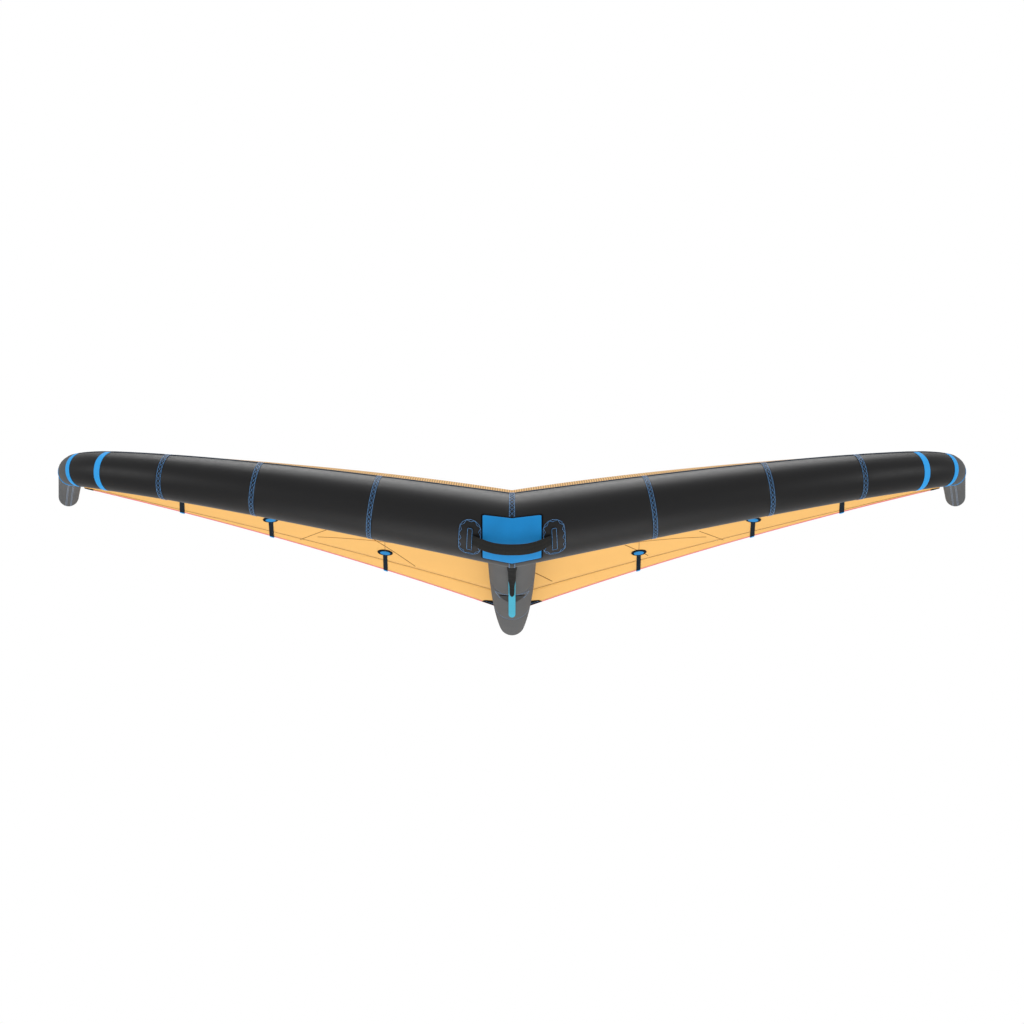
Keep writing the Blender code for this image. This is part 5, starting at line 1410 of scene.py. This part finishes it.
class WING_OT_rail(bpy.types.Operator):
    """Build the base strip, the bow patch, the curved stitching and the rail under the strut"""
    bl_idname = "wing.rail"
    bl_label = "Rail"

    def execute(self, context):
        wing = shape()
        self.base_strip(wing)
        self.bow_patch(wing)
        self.curved_stitching(wing)
        self.rail(wing)
        return {"FINISHED"}

    def base_strip(self, wing):
        """Coated strip along the strut's lowest line, rounded at its back."""
        half = wing.strip_width / 2
        outline = [(y, half) for y in spaced(wing.strip_front, wing.strip_back - STRIP_END, STRIP_STEP)]
        outline += [(wing.strip_back - STRIP_END * (1 - math.sin(turn)), half * math.cos(turn))
                    for turn in quarter_turns(STRIP_END_STEPS)]
        rows = [[wing.strut_point(y, HALF_TURN + width * part / wing.strut_reach(y), STRIP_LIFT)
                 for part in between(-1, 1, 14)] for y, width in outline]
        sewn("rail_base", rows, STRIP_THICKNESS, "strip", ["boom_base_strip"], OUTWARD)

    def bow_patch(self, wing):
        """Dark bow-shaped patch behind the rail, with a black thread along its front edge as a painted shadow
        line.
        """
        steps = between(-BOW_TURN, BOW_TURN, 28)
        rows = []
        for turn in steps:
            corner = max(0, abs(turn) / BOW_TURN - BOW_CORNER_SHARE) / (1 - BOW_CORNER_SHARE)
            back = BOW_BACK - BOW_CORNER * corner
            rows.append([wing.strut_point(y, HALF_TURN + turn, BOW_LIFT)
                         for y in between(bow_front(turn), back, 8)])
        sewn("bow_patch", rows, BOW_THICKNESS, "patch", offset=OUTWARD)
        # Painted shadow: a black thread along the patch's front edge stands in for the shade there.
        edge = [wing.strut_point(bow_front(turn), HALF_TURN + turn, BOW_SHADOW_LINE_LIFT) for turn in steps]
        thread("bow_patch_edge", [edge], BOW_SHADOW_LINE_RADIUS, "edging")

    def curved_stitching(self, wing):
        """Twin stitching that curves back to both sides and returns below the strut."""
        runs = [[wing.strut_point(BOW_MIDDLE + offset + curve_back(turn), HALF_TURN + turn, CURVE_LIFT)
                 for turn in between(-CURVE_TURN, CURVE_TURN, 40)] for offset in (-CURVE_TWIN, CURVE_TWIN)]
        for way in (-1, 1):
            for offset in (-CURVE_TWIN, CURVE_TWIN):
                runs.append([wing.strut_point(BOW_MIDDLE + CURVE_SWEEP + CURVE_RETURN * share + offset,
                                              HALF_TURN + way * (CURVE_TURN - CURVE_RETURN_TURN * share),
                                              CURVE_LIFT) for share in between(0, 1, 12)])
        thread("strut_curve_stitching", runs, CURVE_RADIUS, "pale_thread")

    def rail(self, wing):
        """Moulded rail, flared at its front and rounded at its back."""
        places = spaced(wing.rail_front, wing.rail_back - RAIL_END, RAIL_STEP)
        places += [wing.rail_back - RAIL_END * (1 - math.sin(turn)) for turn in quarter_turns(RAIL_END_STEPS)]
        rows = [rail_row(wing, y) for y in places]
        rail = surface("rail", rows, around=True, first=middle_of(rows[0]), last=middle_of(rows[-1]))
        finished(rail, "rail", ["boom_rail"])


# Wear pad

PAD_HALF = 0.0902
PAD_LOW = math.radians(203.5)
PAD_HIGH = math.radians(281.5)
PAD_DROOP = math.radians(2.2)
PAD_MARGIN = 0.0048
PAD_CORNER = 0.002
PAD_LIFT = 0.0019
PAD_THICKNESS = 0.0012
PAD_ROUNDING = 0.0005
BORDER_CORNER = 0.005
BORDER_LIFT = 0.0012
BORDER_THICKNESS = 0.0006


def nose_place(wing, x, turn, out):
    """Span place whose point on the tube at this turn lies at x."""
    u = abs(x)
    for _ in range(5):
        u = max(0, u + abs(x) - wing.le_point(u, turn, out).x)
    return u


def nose_rows(wing, half_width, low, high, corner, out):
    """Rounded panel on the nose, in rows from its left edge to its right one."""
    rows = []
    radius = wing.le_root_radius
    for part in between(-1, 1, 30):
        x = half_width * part
        edge = half_width - abs(x)
        trim = 0.0
        if edge < corner:
            trim = corner - math.sqrt(max(corner ** 2 - (corner - edge) ** 2, 0))
        row = []
        for turn in between(low + trim / radius, high - PAD_DROOP * abs(part) - trim / radius, 26):
            point = wing.le_point(nose_place(wing, x, turn, out), turn, out)
            row.append(Vector((x, point.y, point.z)))
        rows.append(row)
    return rows


class WING_OT_pad(bpy.types.Operator):
    """Build the wear pad on the nose and its dark border"""
    bl_idname = "wing.pad"
    bl_label = "Wear pad"

    def execute(self, context):
        wing = shape()
        margin = PAD_MARGIN / wing.le_root_radius
        rows = nose_rows(wing, PAD_HALF + PAD_MARGIN, PAD_LOW - margin, PAD_HIGH + margin,
                         BORDER_CORNER, BORDER_LIFT)
        sewn("pad_border", rows, BORDER_THICKNESS, "edging", offset=OUTWARD)
        rows = nose_rows(wing, PAD_HALF, PAD_LOW, PAD_HIGH, PAD_CORNER, PAD_LIFT)
        pad = thicken(surface("nose_pad", rows), PAD_THICKNESS, OUTWARD)
        finished(soften(pad, PAD_ROUNDING, 2), "pad", ["wear_pad"])
        return {"FINISHED"}


# Handle

ANCHOR_PLACE = 0.121
ANCHOR_TURN = math.radians(238)
ANCHOR_RADIUS = 0.0345
ANCHOR_STRAIGHT = 0.061
ANCHOR_END_SHARE = 0.998
ANCHOR_LIFT = 0.0003
ANCHOR_THICKNESS = 0.0011
ANCHOR_EDGE = 0.0028
ANCHOR_BAND = 0.0095
ANCHOR_STITCH_LIFT = 0.0018
ANCHOR_PITCH_SHARE = 1.2
BAR_WIDTH = 0.014
BAR_LENGTH = 0.070
BAR_LIFT = 0.0014
BAR_TOP = 0.0085
BAR_ROUNDING = 0.0016
BAR_STITCH_MARGIN = 0.0002
BAR_STITCH_PITCH = 0.006
HANDLE_MIDDLE = (0, -0.148, -0.0805)
HANDLE_FACE = math.radians(34)
HANDLE_BOW_POWER = 2.4
HANDLE_WIDTH = 0.037
HANDLE_END_WIDTH = 0.030
HANDLE_END_LIFT = 0.0072
HANDLE_END_GAP = 0.0024
HANDLE_CURL = 0.0012
HANDLE_THICKNESS = 0.003
HANDLE_ROUNDING = 0.0009


def stadium(radius, straight, count):
    """Closed stadium outline as (across, along) pairs."""
    points = []
    for turn in turns(count):
        shift = straight / 2 if math.cos(turn) >= 0 else -straight / 2
        points.append((radius * math.sin(turn), radius * math.cos(turn) + shift))
    return points


def even_run(points, gap):
    """Points evenly spaced along a closed outline."""
    closed = points + points[:1]
    marks = [0.0]
    for near, far in zip(closed, closed[1:]):
        marks.append(marks[-1] + math.dist(near, far))
    total = marks[-1]
    count = 2 * round(total / gap / 2)
    run = []
    place = 0
    for step in range(count):
        goal = total * step / count
        while marks[place + 1] < goal:
            place += 1
        share = (goal - marks[place]) / (marks[place + 1] - marks[place])
        near, far = closed[place], closed[place + 1]
        run.append((near[0] + (far[0] - near[0]) * share, near[1] + (far[1] - near[1]) * share))
    return run


def on_anchor(wing, across, along, out, side):
    """Point over the anchor's place on the tube; across grows outwards, along grows upwards."""
    return wing.le_point(ANCHOR_PLACE + across, ANCHOR_TURN + along / wing.le_root_radius, out, side)


class WING_OT_handle(bpy.types.Operator):
    """Build the front handle, its anchors and their stitching"""
    bl_idname = "wing.handle"
    bl_label = "Front handle"

    def execute(self, context):
        wing = shape()
        for label, side in SIDES:
            self.anchor(wing, label, side)
            self.anchor_stitching(wing, label, side)
        self.strap(wing)
        return {"FINISHED"}

    def anchor(self, wing, label, side):
        """Stadium-shaped patch with the raised bar that the strap's end meets."""
        end = ANCHOR_STRAIGHT / 2 + ANCHOR_RADIUS * ANCHOR_END_SHARE
        rows = []
        for along in [end * math.sin(part * HALF_TURN / 2) for part in between(-1, 1, 36)]:
            rounding = max(abs(along) - ANCHOR_STRAIGHT / 2, 0)
            width = math.sqrt(max(ANCHOR_RADIUS ** 2 - rounding ** 2, 0))
            rows.append([on_anchor(wing, width * part * side, along, ANCHOR_LIFT, side)
                         for part in between(1, -1, 16)])
        sewn(f"anchor_patch_{label}", rows, ANCHOR_THICKNESS, "casing", [f"handle_anchor_{label}"], OUTWARD)
        rows = [[on_anchor(wing, across * side, along, BAR_LIFT, side)
                 for across in between(BAR_WIDTH / 2, -BAR_WIDTH / 2, 6)]
                for along in between(-BAR_LENGTH / 2, BAR_LENGTH / 2, 16)]
        bar = thicken(surface(f"anchor_bar_{label}", rows), BAR_TOP - BAR_LIFT, OUTWARD)
        finished(soften(bar, BAR_ROUNDING), "casing")

    def anchor_stitching(self, wing, label, side):
        """Edge thread and zigzag round the patch, and a thread round the bar."""
        edge_radius = ANCHOR_RADIUS - ANCHOR_EDGE
        outer = even_run(stadium(edge_radius, ANCHOR_STRAIGHT, 72), wing.stitch_pitch * ANCHOR_PITCH_SHARE)
        scale = (ANCHOR_RADIUS - ANCHOR_BAND) / edge_radius
        zigzag = list(outer)
        for step, (across, along) in enumerate(outer):
            if step % 2 == 0:
                middle = math.copysign(min(abs(along), ANCHOR_STRAIGHT / 2), along)
                zigzag[step] = (across * scale, middle + (along - middle) * scale)
        runs = [[on_anchor(wing, across, along, ANCHOR_STITCH_LIFT, side) for across, along in run]
                for run in (outer, zigzag)]
        thread(f"anchor_stitching_{label}", runs, wing.thread_radius, "thread", closed=True)
        half = BAR_WIDTH / 2 - BAR_STITCH_MARGIN
        reach = BAR_LENGTH / 2 - BAR_STITCH_MARGIN
        box = even_run([(half, reach), (half, -reach), (-half, -reach), (-half, reach)], BAR_STITCH_PITCH)
        run = [on_anchor(wing, across, along, BAR_TOP + BAR_STITCH_MARGIN, side) for across, along in box]
        thread(f"anchor_box_{label}", [run], wing.thread_radius, "thread", closed=True)

    def strap(self, wing):
        """Webbing strap between the anchors' bars, bowed away from the nose, its edges curled."""
        hinge = hinge_place("handle")
        spread = HANDLE_END_WIDTH / 2 / wing.le_root_radius
        wall = ANCHOR_PLACE - BAR_WIDTH / 2
        low_reach, high_reach = (wing.le_point(wall, ANCHOR_TURN + turned, HANDLE_END_LIFT).x - HANDLE_END_GAP
                                 for turned in (-spread, spread))
        middle = wing.origin + Vector(HANDLE_MIDDLE) - hinge
        face = Vector((0, -math.cos(HANDLE_FACE), -math.sin(HANDLE_FACE)))
        down = Vector((0, math.sin(HANDLE_FACE), -math.cos(HANDLE_FACE)))
        rows = []
        cloth = []
        for step in between(-1, 1, 72):
            bow = 1 - abs(step) ** HANDLE_BOW_POWER
            width = HANDLE_END_WIDTH + (HANDLE_WIDTH - HANDLE_END_WIDTH) * min(1, 2 * bow)
            centre = hinge + middle * bow
            row = []
            marks = []
            for part in between(-1, 1, 12):
                point = centre - down * (width / 2 * part) - face * (HANDLE_CURL * part ** 4)
                reach = low_reach + (high_reach - low_reach) * (part + 1) / 2
                row.append(Vector((reach * step, point.y, point.z)))
                marks.append((reach * step, width / 2 * part))
            rows.append(row)
            cloth.append(marks)
        strap = thicken(surface("handle_strap", rows, cloth), HANDLE_THICKNESS, BOTH_WAYS)
        finished(soften(strap, HANDLE_ROUNDING), "webbing", ["front_handle"], body="handle")


# Valve, hose and zip

FITTING_LOOKS = {"valve_base": "plastic", "valve_cap": "plastic", "valve_flap": "hose",
                 "pinch_clip": "plastic", "clip_lever": "lever", "zip_slider": "plastic"}
HOSE_RADIUS = 0.008
HOSE_START = 0.165
HOSE_STRUT_PLACE = 0.34
HOSE_STRUT_TURN = math.radians(122)
HOSE_SUNK = 0.004
HOSE_STRAIGHT = (0.02, 0.05, 0.085)
HOSE_FIRST_PULL = 0.095
HOSE_LAST_PULL = 0.09
ZIP_TURN = math.radians(117)
ZIP_HALF_TURN = math.radians(7)
ZIP_FRONT = 0.235
ZIP_BACK = 0.405
ZIP_STEP = 0.006
ZIP_LIFT = 0.0006
ZIP_THICKNESS = 0.0008
TOOTH_MARGIN = 0.002
TOOTH_STEP = 0.0025
TOOTH_SHIFT = math.radians(0.35)
TOOTH_REACH = math.radians(0.7)
TOOTH_LIFT = 0.0022
TOOTH_RADIUS = 0.0009


class WING_OT_fittings(bpy.types.Operator):
    """Build the hose and the zip, and finish the valve, the clip and the slider"""
    bl_idname = "wing.fittings"
    bl_label = "Valve, hose and zip"

    def execute(self, context):
        wing = shape()
        for node, look in FITTING_LOOKS.items():
            coated(frame["nodes"][node], look)
        self.hose(wing)
        self.zip(wing)
        return {"FINISHED"}

    def hose(self, wing):
        """Air hose from the leading edge's back to the strut's side."""
        start = wing.le_point(HOSE_START, HALF_TURN / 2, 0, -1)
        end = wing.strut_point(HOSE_STRUT_PLACE, HOSE_STRUT_TURN)
        inward = Vector((math.sin(HOSE_STRUT_TURN), 0, -math.cos(HOSE_STRUT_TURN)))
        back = Vector((0, 1, 0))
        points = [start + back * run for run in (-HOSE_SUNK, *HOSE_STRAIGHT)]
        bend = points.pop()
        first = bend + back * HOSE_FIRST_PULL
        last = end - inward * HOSE_LAST_PULL
        for share in between(0, 1, 40):
            rest = 1 - share
            points.append(bend * rest ** 3 + first * (3 * rest ** 2 * share)
                          + last * (3 * rest * share ** 2) + end * share ** 3)
        points.append(end + inward * HOSE_SUNK)
        thread("air_line", [points], HOSE_RADIUS, "hose", ["air_hose"], sides=6)

    def zip(self, wing):
        """Zip tape with rows of teeth."""
        rows = [[wing.le_point(u, ZIP_TURN + ZIP_HALF_TURN * part, ZIP_LIFT) for part in between(-1, 1, 12)]
                for u in spaced(ZIP_FRONT, ZIP_BACK, ZIP_STEP)]
        sewn("zip_tape", rows, ZIP_THICKNESS, "tape", ["service_zip"], OUTWARD, slot="hard_plastic")
        teeth = []
        for row, u in enumerate(spaced(ZIP_FRONT + TOOTH_MARGIN, ZIP_BACK - TOOTH_MARGIN, TOOTH_STEP)):
            shift = TOOTH_SHIFT * (1 if row % 2 else -1)
            teeth.append([wing.le_point(u, ZIP_TURN + shift + reach, TOOTH_LIFT)
                          for reach in (-TOOTH_REACH, TOOTH_REACH)])
        thread("zip_teeth", teeth, TOOTH_RADIUS, "plastic")


# Stage

LAMPS = (
    ("upper_lamp", (0, 0.7, 4.5), (5.6, 4.4), "gloss_power"),
    ("right_lamp", (8.6, -5.6, -0.2), (5.0, 5.0), "side_power"),
    ("left_lamp", (-8.6, -5.6, -0.2), (5.0, 5.0), "side_power"),
    ("front_lamp", (0, -1.0, -1.95), (3.0, 3.0), "front_power"),
    ("lower_lamp", (0, 0.2, -1.95), (4.0, 4.0), "under_power"))
LIT_MIDDLE = (0, 0.6, 0.1)
FLOOR_HALF = 30
SENSOR_WIDTH = 36


def turned_to(piece, rotation):
    """Turns a lamp or the camera by a quaternion."""
    piece.rotation_mode = "QUATERNION"
    piece.rotation_quaternion = rotation


class WING_OT_stage(bpy.types.Operator):
    """Build the floor, the lamps, the surroundings and the camera"""
    bl_idname = "wing.stage"
    bl_label = "Stage"

    def execute(self, context):
        scene = context.scene
        studio = scene.wing_studio
        wing = shape()
        scene.view_settings.view_transform = "Standard"
        self.surroundings(scene, studio)
        self.floor(studio)
        self.lamps(studio, wing)
        self.camera(scene, studio, wing)
        return {"FINISHED"}

    def surroundings(self, scene, studio):
        """Even light from all round, seen as plain white by the camera, in gloss and through film."""
        world = bpy.data.worlds.new("surroundings")
        world.use_nodes = True
        scene.world = world
        tree = world.node_tree
        light = tree.nodes["Background"]
        white = tree.nodes.new("ShaderNodeBackground")
        for node, strength in ((light, studio.sky), (white, 1)):
            node.inputs["Color"].default_value = (1, 1, 1, 1)
            node.inputs["Strength"].default_value = strength
        path = tree.nodes.new("ShaderNodeLightPath")
        seen = path.outputs["Is Camera Ray"]
        for ray in ("Is Glossy Ray", "Is Transmission Ray"):
            either = tree.nodes.new("ShaderNodeMath")
            either.operation = "MAXIMUM"
            tree.links.new(seen, either.inputs[0])
            tree.links.new(path.outputs[ray], either.inputs[1])
            seen = either.outputs[0]
        mix = tree.nodes.new("ShaderNodeMixShader")
        for source, socket in zip((seen, light.outputs[0], white.outputs[0]), mix.inputs):
            tree.links.new(source, socket)
        tree.links.new(mix.outputs[0], tree.nodes["World Output"].inputs["Surface"])

    def floor(self, studio):
        """Pale floor far below the wing."""
        rows = [[Vector((x, y, -studio.floor_depth)) for x in between(FLOOR_HALF, -FLOOR_HALF, 12)]
                for y in between(FLOOR_HALF, -FLOOR_HALF, 12)]
        floor = surface("floor", rows)
        made = Finish("pale_floor", 0.8)
        cloudy = made.noise(made.object_place(), 0.8, 3.0)
        made.colour(made.mix(cloudy, (0.86, 0.86, 0.86), (0.9, 0.9, 0.9)))
        floor.data.materials.append(made.material)

    def lamps(self, studio, wing):
        """Large soft lamps round the wing, each turned to its middle."""
        for name, offset, (width, depth), power in LAMPS:
            data = bpy.data.lights.new(name, "AREA")
            data.shape = "ELLIPSE"
            data.size = width
            data.size_y = depth
            data.energy = getattr(studio, power)
            lamp = linked(name, data)
            lamp.location = wing.origin + Vector(LIT_MIDDLE) + Vector(offset)
            turned_to(lamp, (-Vector(offset)).to_track_quat("-Z", "Y"))
            lamp.visible_diffuse = name == "lower_lamp"

    def camera(self, scene, studio, wing):
        """Camera in front of the nose, looking slightly up."""
        data = bpy.data.cameras.new("camera")
        data.sensor_width = SENSOR_WIDTH
        data.lens = data.sensor_width * studio.focal_pixels / studio.picture
        camera = linked("camera", data)
        look = Vector((0, math.cos(studio.lift), math.sin(studio.lift)))
        up = Vector((0, -math.sin(studio.lift), math.cos(studio.lift)))
        drop = studio.centre_drop * studio.distance / studio.focal_pixels
        camera.location = wing.origin - look * studio.distance + up * drop
        turned_to(camera, Matrix((look.cross(up), up, -look)).transposed().to_quaternion())
        scene.camera = camera


class WING_PT_parts(bpy.types.Panel):
    """Buttons for each part of the wing and its stage"""
    bl_label = "Foil wing"
    bl_idname = "WING_PT_parts"
    bl_space_type = "VIEW_3D"
    bl_region_type = "UI"
    bl_category = "Wing"

    def draw(self, context):
        column = self.layout.column()
        for operator in OPERATORS:
            column.operator(operator.bl_idname)


OPERATORS = (WING_OT_stage, WING_OT_leading_edge, WING_OT_bladders, WING_OT_tapes, WING_OT_strut,
             WING_OT_canopy, WING_OT_battens, WING_OT_rail, WING_OT_pad, WING_OT_handle, WING_OT_fittings)
GROUPS = {"wing_sizes": WingSizes, "wing_colours": WingColours, "wing_studio": WingStudio}
CLASSES = (*GROUPS.values(), *OPERATORS, WING_PT_parts)


def register():
    for made in CLASSES:
        bpy.utils.register_class(made)
    for key, group in GROUPS.items():
        setattr(bpy.types.Scene, key, PointerProperty(type=group))


def unregister():
    for key in GROUPS:
        delattr(bpy.types.Scene, key)
    for made in reversed(CLASSES):
        bpy.utils.unregister_class(made)


def main():
    register()
    for operator in OPERATORS:
        group, name = operator.bl_idname.split(".")
        getattr(getattr(bpy.ops, group), name)()


if __name__ == "__main__":
    main()
